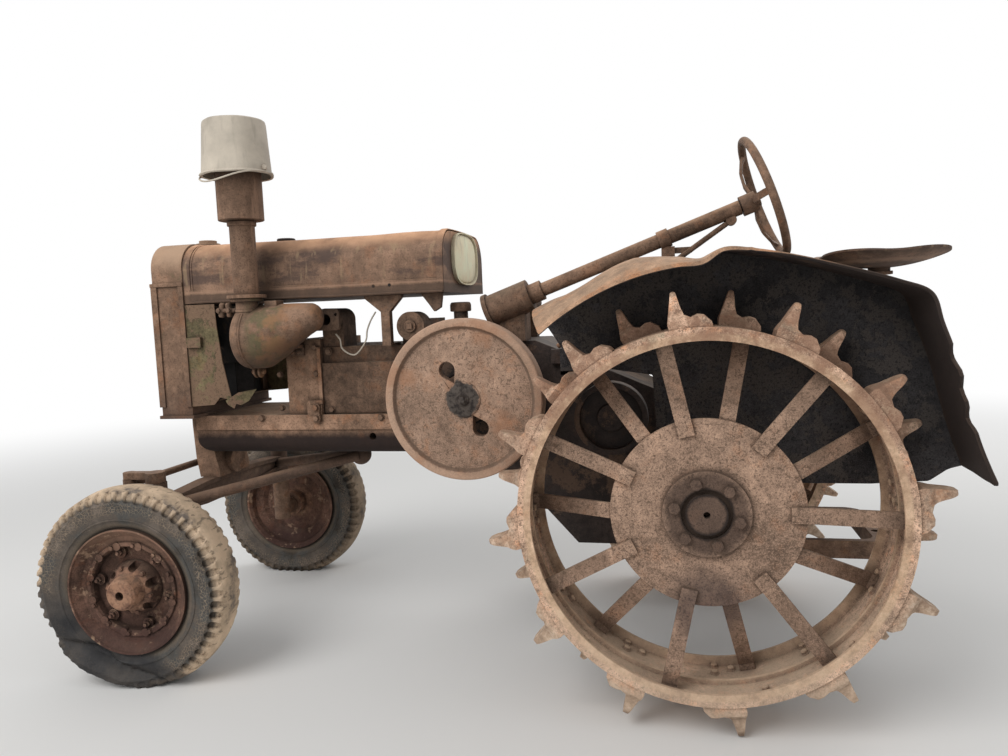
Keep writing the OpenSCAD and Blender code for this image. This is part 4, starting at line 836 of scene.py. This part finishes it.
class TRACTOR_OT_tank(bpy.types.Operator):
    """Builds the dented tank with its flange, bands, two dark discs of painted shade for holes, end panel and filler
    cap
    """

    bl_idname = "tractor.tank"
    bl_label = "Tank"

    def execute(self, context):
        (front, _, base), (rear, _, top) = corners("fuel_tank")
        # Half the distance between the tank's sides
        half = 0.276
        line, normal = self.outline(half, base, top)
        shapes = [self.skin(line, normal, front, rear, (base + top) / 2)]
        # Bands: the outline stepped out by a few millimetres, flat in between; start, width and height of each
        for start, wide, lift in ((front, 0.030, 0.0035), (front + 0.034, 0.006, 0.0022), (rear - 0.024, 0.024, 0.004)):
            rows = ((0, -0.004), (0, 0.7 * lift), (0.15, lift), (0.85, lift), (1, 0.7 * lift), (1, -0.004))
            band = [np.column_stack([np.full(len(line), start + at * wide), line + out * normal]) for at, out in rows]
            shapes.append(grid(np.stack(band), True))
        # Foot: an upright strip bent out into a flange with a rolled bead, as (out, up) pairs
        foot = np.array([(0.0, 0.050), (0.0025, 0.048), (0.003, 0.016), (0.004, 0.009), (0.0085, 0.0085),
                         (0.010, 0.0045), (0.0085, 0.0005), (0.0, 0.0)])
        long = np.linspace(front + 0.03, rear - 0.002, 80)[:, None]
        sag = np.abs(0.0012 * waves(long, long * 0, 3, 14.0))
        for s in (-1, 1):
            parts = np.broadcast_arrays(long, s * (half + foot[None, :, 0]), base + foot[None, :, 1] + sag)
            shapes.append(grid(np.stack(parts, axis=2), False, True))
        build("tank_skin", shapes, "tank", ("fuel_tank",), 34)
        # Two dark discs on the tank's left side stand for holes: painted shade
        hole_disc = [(0, -0.004), (0.0055, -0.004), (0.0055, 0.0012), (0.004, 0.002), (0, 0.0005)]
        hole_shades = [turned(hole_disc, place(x, -half * 1000 - 2.5, z), LEFT, 16) for x, z in ((-1123, 715), (-1062, 716))]
        build("tank_plugs", hole_shades, "dark", (), 40)
        self.end()
        self.cap()
        return {"FINISHED"}

    def outline(self, half, base, top):
        """From the left foot over the top to the right foot: two straight sides, two quarter circles and a slightly
        crowned top; with the direction out from each point."""
        rounding, crown = 0.1, 0.004
        turn = np.linspace(0, math.pi / 2, 14)
        side = np.linspace(base, top - rounding - crown, 16)[:-1]
        left = np.stack([np.full(15, -half), side], 1)
        bend = np.stack([-half + rounding * (1 - np.cos(turn)), top - crown - rounding * (1 - np.sin(turn))], 1)
        flat = np.linspace(-half + rounding, 0, 14)[1:]
        over = np.stack([flat, top - crown + 0.003 * (1 - (flat / (half - rounding)) ** 2)], 1)
        line = np.vstack([left, bend, over])
        line = np.vstack([line, (line[:-1] * [-1, 1])[::-1]])
        across = np.gradient(line, axis=0)
        return line, unit(np.stack([-across[:, 1], across[:, 0]], 1))

    def skin(self, line, normal, front, rear, height):
        """The outline carried from front to rear and pressed in by waves and one hollow, with its ends shut."""
        x = np.linspace(front, rear, 150)[:, None]
        around = run(line)[None]
        press = waves(x, around, 4, 7.0) + 0.5 * waves(x, around, 9, 19.0)
        hollow = np.exp(-(((x - front - 0.42) / 0.16) ** 2) - (((around - 0.16) / 0.09) ** 2))
        press = np.minimum(press, 0.3) - 0.3 - 1.6 * hollow
        keep = np.clip(np.minimum(x - front, rear - x) / 0.05, 0, 1)
        keep = keep * np.clip(np.minimum(around, around[:, -1:] - around) / 0.04, 0, 1)
        skin = line[None] + (settings()[1].dent * press * keep)[..., None] * normal[None]
        rows = np.concatenate([np.broadcast_to(x[..., None], skin.shape[:2] + (1,)), skin], axis=2)
        ends = [np.broadcast_to([at, 0.0, height], (1, len(line), 3)) for at in (front, rear)]
        return grid(np.concatenate([ends[0], rows, ends[1]]), False, True)

    def cap(self):
        """The filler cap: a low collar, a waist and a knurled knob, whose radius swells 20 times round it."""
        low, high = corners("tank_caps")
        middle, r, tall = (low + high) / 2, (high[0] - low[0]) / 2, high[2] - low[2]
        profile = np.array([(0, 0), (1, 0), (1, 0.16), (0.93, 0.24), (0.66, 0.30), (0.62, 0.48), (0.80, 0.56),
                            (0.84, 0.66), (0.84, 0.88), (0.76, 1), (0.3, 1), (0, 0.97)]) * [r, tall]

        def knurl(turn, row):
            """Twenty swellings round the knob and none elsewhere."""
            return 0.0012 * np.cos(20 * turn) * (row < 0.9 * r) * (row > 0.7 * r)

        shape = turned(profile, (middle[0], middle[1], low[2]), UP, 120, knurl)
        build("filler_cap", [shape], "case", ("tank_caps",))

    def end(self):
        """The oval panel: rings of a rounded oblong, stepped back in a groove and crowned in the middle."""
        low, high = corners("tank_end_panel")
        middle, half = (low + high) / 2, (high - low) / 2
        sides, power = 96, 2 / 2.9
        turn = circle(sides)
        ring = half[1:] * np.sign(turn) * np.abs(turn) ** power
        # Share of the outline and distance out from the tank
        rows = ((1.0, 0.0), (1.0, 0.013), (0.975, 0.0138), (0.955, 0.012), (0.945, 0.006), (0.93, 0.004),
                (0.91, 0.0062), (0.8, 0.0085), (0.6, 0.0110), (0.4, 0.0124), (0.2, 0.0130), (1e-4, 0.0132))
        panel = [np.column_stack([np.full(sides, low[0] + out), middle[1:] + share * ring]) for share, out in rows]
        build("tank_end_oval", [grid(np.stack(panel), False, True)], "panel", ("tank_end_panel",), 50)


class TRACTOR_OT_intake(bpy.types.Operator):
    """Builds the upturned bucket with its wire, and the air cleaner with its clamp, wing nuts and bolts"""

    bl_idname = "tractor.intake"
    bl_label = "Air intake"

    def execute(self, context):
        low, high = corners("stack_bucket")
        middle, rim, tall = (low + high) / 2, (high[0] - low[0]) / 2, high[2] - low[2]
        wall = rim - 0.005
        # The outside from the rolled mouth up to the bottom's middle, then back down the inside
        profile = [(rim - 0.012, 0.002), (rim - 0.004, 0), (rim, 0.004), (rim - 0.002, 0.009), (wall - 0.001, 0.012),
                   (wall - 0.002, 0.016), (wall - 0.006, 0.07), (wall - 0.013, tall - 0.012),
                   (wall - 0.015, tall - 0.004), (wall - 0.020, tall), (wall - 0.026, tall - 0.003),
                   (wall - 0.032, tall - 0.004), (0.05, tall - 0.003), (0, tall - 0.002), (0, tall - 0.008),
                   (wall - 0.020, tall - 0.009), (wall - 0.010, 0.07), (wall - 0.004, 0.012)]

        def dented(turn, r):
            """Three and seven swellings round the shell, which fade towards the bottom's middle."""
            return 0.0035 * (np.sin(3 * turn + 1) + 0.6 * np.sin(7 * turn)) * (r / rim) ** 4 - 0.004 * (r > 0.5 * rim)

        shell = turned(profile, (middle[0], middle[1], low[2]), UP, 120, dented, True)
        build("bucket_shell", [shell], "bucket", ("stack_bucket",))
        self.cleaner()
        # Wire bail: it hangs from two ears and droops round the front of the bucket's mouth
        share = np.linspace(0, 1, 40)
        turn = np.radians(185 + 160 * share)
        around = np.stack([np.cos(turn), np.sin(turn)], 1)
        drop = 0.012 + 0.060 * np.sin(math.pi * share) ** 2 * (1 - 0.9 * share)
        bail = np.column_stack([middle[:2] + (rim - 0.001) * around, low[2] + 0.018 - drop])
        shapes = [tube(bail, 0.6 * settings()[1].wire, 8)]
        for k in (0, -1):
            ear = (*(middle[:2] + (rim - 0.004) * around[k]), low[2] + 0.020)
            shapes.append(turned([(0, -0.004), (0.009, -0.004), (0.009, 0.004), (0, 0.004)], ear, RIGHT, 16))
        build("bucket_bail", shapes, "bucket", (), 40)
        return {"FINISHED"}

    def cleaner(self):
        """The air cleaner: a round body with a domed cap, and an outlet whose round sections shrink and rise."""
        low, _ = corners("air_cleaner")
        level, upright = circle(72).T
        # Radius and place along of the dome and the body's bands
        body = np.array([(0, -80), (35, -79), (64, -74), (96, -63), (108, -54), (112.5, -46), (116, -32), (116, -27.5),
                         (119, -26), (119, -22.5), (117.5, -20.5), (117.5, -18.5), (119, -16.5), (119, -12.5),
                         (116, -11), (116, 0)]) / 1000
        dome = np.stack(np.broadcast_arrays(body[:, 1:], body[:, :1] * level, body[:, :1] * upright), 2)
        # Sections of the outlet: radius and height of the middle, by straight lines between the named shares
        t = np.linspace(0, 1, 40)
        along = 0.012 + 0.240 * t
        size = np.interp(t, [0, 0.10, 0.35, 0.6, 0.75, 0.86, 0.94, 0.985, 1.0],
                         [0.1155, 0.1135, 0.096, 0.073, 0.060, 0.052, 0.042, 0.022, TIP])
        middle = np.interp(t, [0, 0.10, 0.35, 0.6, 0.75, 0.86, 1.0], [0.0, 0.002, 0.020, 0.043, 0.055, 0.062, 0.062])
        radius = size[:, None] * (1 + 0.012 * waves(along[:, None] * 20, 3 * upright[None], 6))
        outlet = np.stack(np.broadcast_arrays(along[:, None], radius * level, middle[:, None] + radius * upright), 2)
        centre = [AXLE[0] - 1.560, low[1] + 0.119, AXLE[2] + 0.550]
        shapes = [grid(np.concatenate([dome, outlet]) + centre, False, True)]
        # Neck with its flange and seam, and the lugs of the band with their bolt
        neck = np.array([(0, 606), (40, 606), (40, 640), (42.5, 642), (42.5, 650), (40, 652), (40, 676), (54, 678),
                         (56, 680), (56, 688), (54, 690), (0, 690)]) / 1000
        shapes += [turned(neck, place(-1575, -360, 0), UP, 64)]
        lug = [(0, 0), (0.020, 0), (0.022, 0.002), (0.022, 0.006), (0.020, 0.008), (0, 0.008)]
        shapes += [turned(lug, place(x, -317, 422), (1, 0, 0), 32) for x in (-1586, -1568)]
        for x, way in ((-1560, 1), (-1586, -1)):
            shapes += bolts([place(x, -317, 422)], (way, 0, 0), 0.019)
        build("cleaner_body", shapes, "cleaner", ("air_cleaner",), 34)
        # Clamp ahead of the neck with its two wing nuts, the block beside it and the bracket to the head
        along = np.linspace(-1697, -1600, 12)
        parts = [tube(place(along, -356, 650 + 2 * np.sin(along)), 0.009, 14)]
        nut = [(0, 0), (0.009, 0), (0.0115, 0.006), (0.0105, 0.026), (0.012, 0.046), (0.008, 0.052), (0, 0.053)]
        for x, lean in ((-1687, 3), (-1647, -2)):
            parts += [turned(nut, place(x + lean, -356, 626), (0.05 * lean, 0, 1), 20)]
            parts += bolts([place(x, -366, 650)], LEFT, 0.016)
        for low, high in (((-1513, -356, 626), (-1463, -302, 678)), ((-1510, -257, 500), (-1450, -190, 512)),
                          ((-1510, -202, 470), (-1450, -190, 512))):
            parts.append(bar_box(low, high))
        parts += bolts([place(x, -202, 486) for x in (-1494, -1466)], LEFT, 0.017)
        build("cleaner_clamp", parts, "bare", ("air_cleaner",), 32, 0.0025)


# The flywheel's left face, from the middle of the tractor
FLYWHEEL_FACE = -0.430


class TRACTOR_OT_flywheel(bpy.types.Operator):
    """Builds the flywheel with its two drop-shaped hand holes, greasy hub and bolt"""

    bl_idname = "tractor.flywheel"
    bl_label = "Flywheel"

    def execute(self, context):
        centre = np.array(CRANK) + [0, FLYWHEEL_FACE, 0]
        rim = [(0.226, 0.014), (0.236, 0.012), (0.2405, 0.006), (0.244, 0.0005), (0.247, 0.0), (0.266, 0.0),
               (0.2695, 0.0025), (0.270, 0.006), (0.270, 0.066), (0.268, 0.070), (0.243, 0.070), (0.240, 0.068),
               (0.234, 0.054), (0.226, 0.052)]
        # The hub's face, then its back and the shaft
        hub = [(0, -0.001), (0.012, -0.001), (0.0135, 0.001), (0.020, 0.002), (0.022, 0.006), (0.024, 0.0078),
               (0.055, 0.008), (0.0585, 0.010), (0.060, 0.016), (0.060, 0.050), (0.086, 0.052), (0.084, 0.070),
               (0.028, 0.070), (0.027, 0.300), (0.027, 0.699), (0, 0.699)]
        shapes = [turned(rim, centre, RIGHT, 160, None, True), turned(hub, centre, RIGHT, 96)]
        shapes += bolts([centre + [0, 0.0005, 0]], LEFT, 0.022, 0.010)
        build("flywheel_rim", shapes, "flywheel", ("flywheel",), body="crank")
        self.web(centre)
        return {"FINISHED"}

    def web(self, centre):
        """The web: a flat ring with two drop-shaped holes, filled between its outlines on two planes, and walls."""
        outlines = [0.230 * circle(120), 0.050 * circle(60)]
        arc = np.linspace(math.radians(-115), math.radians(115), 28)
        # A drop is an arc of 230 degrees and the point where its tangents meet, turned to its angle
        drop = np.vstack([[0.062, 0.0], np.stack([0.112 + 0.027 * np.cos(arc), 0.027 * np.sin(arc)], 1)])
        for angle in (math.radians(-60), math.radians(-242)):
            c, s = math.cos(angle), math.sin(angle)
            outlines.append(drop @ np.array([[c, s], [-s, c]]))
        flat = np.vstack(outlines)
        starts = np.cumsum([0] + [len(line) for line in outlines])
        step = [np.stack([np.arange(len(line)), (np.arange(len(line)) + 1) % len(line)], 1) for line in outlines]
        edges = np.vstack([start + pair for start, pair in zip(starts, step)])
        mesh = bpy.data.meshes.new("web_fill")
        mesh.from_pydata(np.insert(flat, 1, 0, axis=1).tolist(), edges.tolist(), [])
        form = bmesh.new()
        form.from_mesh(mesh)
        bmesh.ops.triangle_fill(form, use_beauty=True, edges=form.edges[:])
        form.to_mesh(mesh)
        form.free()
        faces = np.empty(3 * len(mesh.polygons), np.int32)
        mesh.loops.foreach_get("vertex_index", faces)
        bpy.data.meshes.remove(mesh)
        faces = faces.reshape(-1, 3)
        # The inner disc and the drops stay open
        faces = faces[self.solid(flat[faces].mean(axis=1), outlines)]
        front, back = 0.013, 0.053
        planes = [centre + np.insert(flat, 1, y, axis=1) for y in (front, back)]
        shapes = [(plane, faces) for plane in planes]
        shapes += [grid(np.stack([plane[a:b] for plane in planes]), False, True) for a, b in zip(starts, starts[1:])]
        build("flywheel_web", shapes, "flywheel", ("flywheel",), 40, 0.003, "crank")

    def solid(self, points, outlines):
        """Which points lie in the ring and outside its holes: inside an outline, the turns from corner to corner add
        up to a full one."""
        inside = []
        for line in outlines:
            away = line[None] - points[:, None]
            angle = np.arctan2(away[..., 1], away[..., 0])
            steps = (np.diff(angle, axis=1, append=angle[:, :1]) + math.pi) % (2 * math.pi) - math.pi
            inside.append(np.abs(steps.sum(axis=1)) > 3)
        return inside[0] & ~np.any(inside[1:], axis=0)


class TRACTOR_OT_details(bpy.types.Operator):
    """Adds bolts, the loose wire, the bent rod, the breather's fittings and the strap over the band"""

    bl_idname = "tractor.details"
    bl_label = "Details"

    def execute(self, context):
        sizes = settings()[1]
        flats = sizes.bolt
        hang = np.array([(-1312, 548), (-1298, 526), (-1293, 495), (-1268, 475), (-1238, 469), (-1211, 492),
                         (-1192, 523), (-1187, 558), (-1171, 594), (-1150, 623)])
        wire = spline(place(hang[:, 0], -205, hang[:, 1]), 70)
        wire[:, 1] += 0.004 * np.sin(np.linspace(0, 9, 70))
        build("loose_wire", [tube(wire, 0.6 * sizes.wire, 8)], "bucket", (), 60)
        bent = np.array([(-240, 378), (-141, 334), (15, 238), (149, 115), (282, 86)])
        build("bent_rod", [tube(spline(place(bent[:, 0], 300, bent[:, 1]), 60), 0.007)], "bucket", (), 60)
        # Bolts of the crankcase's band, of the cylinder block and of the head, on both sides
        cast = []
        for side, s in ((LEFT, -1), (RIGHT, 1)):
            cast += bolts([place(x, s * 206, 233) for x in (-1640, -1407, -1150)], side, flats)
            cast += bolts([place(x, s * 190, z) for x in (-1352, -1040) for z in (262, 482)], side, flats)
            cast += bolts([place(x, s * 190, z) for x in (-1560, -1408) for z in (270, 400, 500)], side, 0.9 * flats)
        build("engine_bolts", cast, "bare")
        strap = [bar_box((-1415, -222, 215), (-1391, -205, 285)), bar_box((-1432, -212, 285), (-1380, -190, 300))]
        strap += bolts([place(-1403, -222, z) for z in (274, 233)], LEFT, 1.15 * flats)
        build("band_strap", strap, "bare", (), 30, 0.003)
        # The breather's flange and its pale cap over the pipe on the case, as radius and height
        flange = ((20, 500), (42, 500), (43, 503), (43, 508), (40, 511), (30, 515), (20, 516))
        cap = ((30, 612), (37, 613), (38.5, 617), (38.5, 636), (36, 643), (26, 646.5), (0, 647))
        for name, profile, sides, slot, finish in (("breather_flange", flange, 40, "case", "case"),
                                                   ("breather_cap", cap, 48, "sheet", "column")):
            shape = turned(np.array(profile) / 1000, place(-840, -150, 0), UP, sides)
            build(name, [shape], finish, (), 34)
        return {"FINISHED"}


# The crown's line in millimetres from the axle: an arc at the front, then its sagging back and tail
ARC = np.radians(130.4 - 4.8 * np.arange(9))
CROWN = np.vstack([
    np.stack([750 * np.cos(ARC) + 22, 750 * np.sin(ARC) - 26], 1),
    [(56, 757), (146, 747), (245, 725), (367, 690), (487, 651), (568, 614), (599, 534), (640, 423), (676, 281),
     (702, 191), (731, 108)],
])


class TRACTOR_OT_fenders(bpy.types.Operator):
    """Builds the two fenders: the crown with its dents, seam and rolled lip, and the inner plate, whose near-black grey
    is painted shade
    """

    bl_idname = "tractor.fenders"
    bl_label = "Fenders"

    def execute(self, context):
        for s, name in ((-1, "left_fender"), (1, "right_fender")):
            line = spline(CROWN, 170)
            normal = unit(np.stack([-np.gradient(line[:, 1]), np.gradient(line[:, 0])], 1))
            height = self.crown(s, name, line, normal)
            self.plate(s, name, line + (height[:, :1] - 3) * normal)
        return {"FINISHED"}

    def crown(self, s, name, line, normal):
        """The crown, in millimetres: across each point of its line run the top, the rolled lip and the underside, at a
        height along the normal that adds up rises, waves, a crease and a seam."""
        low, high = corners(name)
        inner, outer = 418.0, max(abs(low[1]), abs(high[1])) * 1000
        # Thickness of the sheet, and how far its top lies inside the solid's
        sheet, inset = 4.0, 1.5
        x = line[:, 0]
        column = x[:, None]
        v = np.concatenate([np.linspace(0, 0.92, 24), [0.95, 0.97, 0.985]])
        # Height over the line: a rise to the inner plate at the front and the dent there, a crease and a seam
        lift = 62 * rise(-x, -60, 180)[:, None] * (1 - v**2.4)[None]
        lift = lift + (24 * rise(-x, 380, 464) - 16 * bell(x, -335, 70))[:, None] * (1 - v)[None]
        buckle = 2.2 * waves(column / 90, v[None] * 3.2, 12 + s) * rise(v, 0, 0.15) * rise(-v, -1, -0.88)
        crease = -3.0 * bell(v, 0.60, 0.018)[None] * rise(-x, -500, -300)[:, None]
        seam = 2.0 * bell(column, 128, 6)
        # The tail is crumpled inwards, and its outer edge is torn off by a ragged width
        tail = rise(x, 560, 650)
        crumple = -8.0 * np.abs(waves(column / 30, v[None] * 5.0, 33 + s)) * tail[:, None] * v[None]
        torn = rise(x, 480, 600) * (4.0 * np.abs(waves(x / 14, x * 0, 9 + s)) + 2.0)
        torn = torn + 34.0 * tail * np.clip(waves(line[:, 1] / 19, x / 19, 44 + s) + 0.05, 0, 1)
        height = lift - inset + np.minimum(buckle, 1.2) + crease + seam + crumple
        y = inner + v[None] * (outer - inset - inner - torn[:, None])
        # The lip is 8 mm thinner behind the top
        lip = np.array([(-1.0, -inset), (0, -6.0), (0, -12.0), (-1.5, -14.0), (-5.5, -14.0), (-6.5, -10.0),
                        (-6.5, -sheet - 1)]) + [outer, 0]
        wear = 8.0 * rise(x, 60, 220) + 1.6 * waves(x / 22, x * 0, 5 + s) * rise(x, 300, 500)
        roll = np.broadcast_to(lip[None], (len(x), len(lip), 2)).copy()
        roll[:, 2:5, 1] += wear[:, None]
        roll[:, 1:6, 1] = np.maximum(roll[:, 1:6, 1], -14.0) + 0.6 * wear[:, None] * np.array([[0.5, 0, 0, 0, 0.2]])
        roll[:, :, 0] -= torn[:, None]
        roll[:, :, 1] += height[:, -1:] + inset
        under = np.stack([y[:, ::-1], height[:, ::-1] - sheet], 2)
        section = np.concatenate([np.stack([y, height], 2), roll, under], axis=1)
        flat = line[:, None] + section[..., 1:] * normal[:, None]
        points = np.stack([flat[..., 0], s * section[..., 0], flat[..., 1]], axis=2)
        build(name + "_crown", [grid(AXLE + closed(points) / 1000, False, True)], "crown", (name,), 28)
        return height

    def plate(self, s, name, edge):
        """The inner plate: straight lines from the crown's edge to the plate's foot, which passes over the axle."""
        arc = np.radians([132, 112, 90, 68, 46, 24])
        foot = np.vstack([[(-400, 430), (-150, 390), (-138, 150)], 131 * np.stack([np.cos(arc), np.sin(arc)], 1),
                          [(140, 50), (480, 50), (640, 60), (690, 96)]])
        over, along = run(edge), run(foot)
        share = (over / over[-1]) ** 1.15
        base = np.column_stack([np.interp(share * along[-1], along, foot[:, k]) for k in (0, 1)])
        t = np.linspace(0, 1, 26)[None, :, None]
        field = edge[:, None] * (1 - t) + base[:, None] * t
        x, z = field[..., 0], field[..., 1]
        bulge = 2.0 * waves(x / 160, z / 160, 21 + s) * np.sin(math.pi * t[..., 0])
        ribs = 2.5 * bell(x, -32, 8) + 2.0 * bell(x, 330, 8)
        face, thick, most = 420.5, 3.5, 1.5
        y = s * (face + np.clip(bulge, -most, most) + ribs)
        sides = [np.stack([x, y, z], 2), np.stack([x, y - s * thick, z], 2)[:, ::-1]]
        shapes = [grid(AXLE + closed(np.concatenate(sides, axis=1)) / 1000, False, True)]
        # Brackets to the case
        for a, b in (((-440, 190, 396), (-390, 420, 408)), ((-440, 406, 396), (-370, 420, 480)),
                     ((200, 190, 70), (240, 420, 82)), ((200, 190, 30), (240, 198, 82))):
            points, faces = bar_box(a, b)
            shapes.append((points * [1, s, 1], faces))
        build(name + "_plate", shapes, "plate", (name,), 34)


class TRACTOR_OT_front_tyres(bpy.types.Operator):
    """Builds the two old front tyres, the left one flat, with shoulder lugs and a worn tread"""

    bl_idname = "tractor.front_tyres"
    bl_label = "Front tyres"

    def execute(self, context):
        for s, side in ((-1, "left"), (1, "right")):
            joint = JOINTS[f"{side}_front_spin"]
            self.tyre(s, side, np.array(joint["pos_m"]), s * unit(joint["axis"]))
        return {"FINISHED"}

    def tyre(self, s, side, centre, out):
        """Radius and half width run round the section; wedge-shaped notches cut the shoulders, and what would pass
        the floor is pressed flat."""
        lugs = settings()[1].tyre_lugs
        profile = np.array([(208, 44), (222, 56), (238, 64), (250, 69.5), (253.5, 73.5), (259, 73.8), (262, 72),
                            (285, 76), (302, 77.2), (308, 79), (313, 79), (317, 76.8), (328, 73.5), (340, 69),
                            (347.5, 64), (351.5, 57), (354.5, 45), (358, 28), (359.5, 10)]) / 1000
        rows, count = 104, lugs * 12
        loop = spline(np.vstack([profile, profile[::-1] * [1, -1]]), rows)
        turn = np.linspace(0, 2 * math.pi, count, endpoint=False)
        radius, wide = (np.broadcast_to(loop[:, k, None], (rows, count)).copy() for k in (0, 1))
        axis, across, other = axes_of(out)
        ring = np.cos(turn)[:, None] * across + np.sin(turn)[:, None] * other
        # Towards the ground and a little to the front, and across that: the flat tyre has folded in this quarter
        fall, lean = 0.93, 0.37
        down, level = -fall * ring[:, 2] - lean * ring[:, 0], fall * ring[:, 0] - lean * ring[:, 2]
        low = rise(down, 0.55, 1.0)[None] * (s < 0)
        phase = (turn * lugs / (2 * math.pi) + 0.5 * (wide > 0)) % 1
        # A notch is widest at the side wall and closes at the tread's edge
        outward = rise(np.abs(wide), 0.0470, 0.0690) * rise(radius, 0.3175, 0.3235)
        notch = np.clip(2.6 * (1 - np.abs(phase - 0.5) / (0.12 + 0.27 * outward)), 0, 1)
        notch = notch * outward**0.6 * (1 - 0.85 * low) * (0.85 + 0.3 * waves(turn[None] * 9, wide * 0, 7))
        cut_side, cut_top, bead = 0.0105, 0.0095, 0.25
        wide -= np.sign(wide) * cut_side * notch
        radius -= cut_top * notch
        # A fine groove along the tread's edge, then waves over all that is outside the bead
        tread = (np.abs(wide) < 0.056) & (radius > 0.34)
        radius -= 0.0022 * tread * bell(np.abs(wide), 0.0535, 0.0018)
        radius += 0.0014 * waves(turn[None] * 5, wide * 60, 8 + s) * (radius > bead)
        wide += 0.0012 * waves(turn[None] * 11, radius * 90, 4 + s) * (radius > bead)
        # The fold runs straight across under the rim: a crease, and below it a crumpled roll that hangs out
        outer = low * (wide > 0)
        deep, sideways = radius * down[None], radius * level[None]
        crease = bell(deep - 0.008 * np.sin(24 * sideways), 0.255, 0.015)
        wide += outer * (0.019 * bell(deep, 0.312, 0.024) - 0.024 * crease)
        wide += outer * 0.005 * waves(sideways * 38, deep * 60, 31)
        # The roll stays inside the solid's box
        widest = 0.0935
        wide = np.minimum(wide, widest)
        radius -= low * 0.012 * bell(radius, 0.35, 0.02)
        points = centre + radius[..., None] * ring[None] + wide[..., None] * axis
        # What is lower than the floor is pressed onto it, a hair clear of it
        clear, soft = 0.0004, 0.02
        points[..., 2] = np.maximum(points[..., 2], clear + 0.05 * np.maximum(0.0, soft - points[..., 2]) ** 2)
        build(side + "_front_rubber", [grid(points, True, True)], side + "_rubber", (side + "_front_tyre",), 38,
              body=side + "_front_wheel")


class TRACTOR_OT_wheel_bolts(bpy.types.Operator):
    """Sets the bolts of the rear rims and the bolts and nuts of the front wheels"""

    bl_idname = "tractor.wheel_bolts"
    bl_label = "Wheel bolts"

    def execute(self, context):
        flats = settings()[1].bolt
        for s, side in ((-1, "left"), (1, "right")):
            shapes, inside = [], 0.533
            # Inside the rim, at each of 12 lugs along both edges: one bolt on the foot and two behind it
            for k in range(12):
                for y, twist in ((0.648, -7.5), (0.478, 7.5)):
                    for shift, pull in ((0.0, 0.0), (-5.4, 0.022), (-5.4, -0.022)):
                        angle = math.radians(k * 30 + twist + shift) - math.pi / 2
                        inward = np.array([-math.cos(angle), 0.0, -math.sin(angle)])
                        shapes += bolts([AXLE + [0, s * (y + pull), 0] - inside * inward], inward, flats)
            build(side + "_rim_bolts", shapes, "rim", body=side + "_rear_wheel")
            self.front(s, side, flats)
        return {"FINISHED"}

    def front(self, s, side, flats):
        """Bolts on the clamps with their studs, and nuts on the clamp ring and the hub, round the wheel's own axis."""
        joint = JOINTS[side + "_front_spin"]
        centre, out = np.array(joint["pos_m"]), s * unit(joint["axis"])
        level = s * np.cross(out, UP)

        def around(count, r, first, lift):
            """Places on a circle round the axis, lifted out along it."""
            turn = np.radians(360 / count * np.arange(count) + first)[:, None]
            return centre + r * (np.cos(turn) * level - np.sin(turn) * np.array(UP)) + lift * out

        clamps = (6, 0.134, 12)
        shapes = bolts(around(*clamps, 0.0235), out, 1.15 * flats)
        shapes += [tube(at + np.outer((0.020, 0.030, 0.044), out), 0.006, 10, UP) for at in around(*clamps, 0)]
        shapes += bolts(around(12, 0.159, 8, 0.0415), out, 0.7 * flats, 0.008)
        shapes += bolts(around(6, 0.080, 12, 0.0475), unit(out + 0.01), 0.75 * flats, 0.008)
        build(side + "_front_bolts", shapes, "front_rim", body=side + "_front_wheel")


STEPS = ("stage", "castings", "tank", "intake", "flywheel", "details", "fenders", "front_tyres", "wheel_bolts")


class VIEW3D_PT_tractor(bpy.types.Panel):
    """Lists the settings and the steps that build the tractor"""

    bl_label = "Vintage tractor"
    bl_idname = "VIEW3D_PT_tractor"
    bl_space_type = "VIEW_3D"
    bl_region_type = "UI"
    bl_category = "Tractor"

    def draw(self, context):
        for group, title in zip(settings(), ("Colours", "Sizes", "Stage")):
            box = self.layout.box()
            box.label(text=title)
            for key in group.__annotations__:
                box.prop(group, key)
        for step in STEPS:
            self.layout.operator(f"tractor.{step}")


CLASSES = (
    TractorColours,
    TractorSizes,
    TractorStage,
    TRACTOR_OT_stage,
    TRACTOR_OT_castings,
    TRACTOR_OT_tank,
    TRACTOR_OT_intake,
    TRACTOR_OT_flywheel,
    TRACTOR_OT_details,
    TRACTOR_OT_fenders,
    TRACTOR_OT_front_tyres,
    TRACTOR_OT_wheel_bolts,
    VIEW3D_PT_tractor,
)
GROUPS = {"tractor_colours": TractorColours, "tractor_sizes": TractorSizes, "tractor_stage": TractorStage}


def register():
    for kind in CLASSES:
        bpy.utils.register_class(kind)
    for key, group in GROUPS.items():
        setattr(bpy.types.Scene, key, bpy.props.PointerProperty(type=group))


def unregister():
    for key in GROUPS:
        delattr(bpy.types.Scene, key)
    for kind in reversed(CLASSES):
        bpy.utils.unregister_class(kind)


def main():
    """Registers the add-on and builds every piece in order."""
    register()
    for step in STEPS:
        getattr(bpy.ops.tractor, step)()


if __name__ == "__main__":
    main()
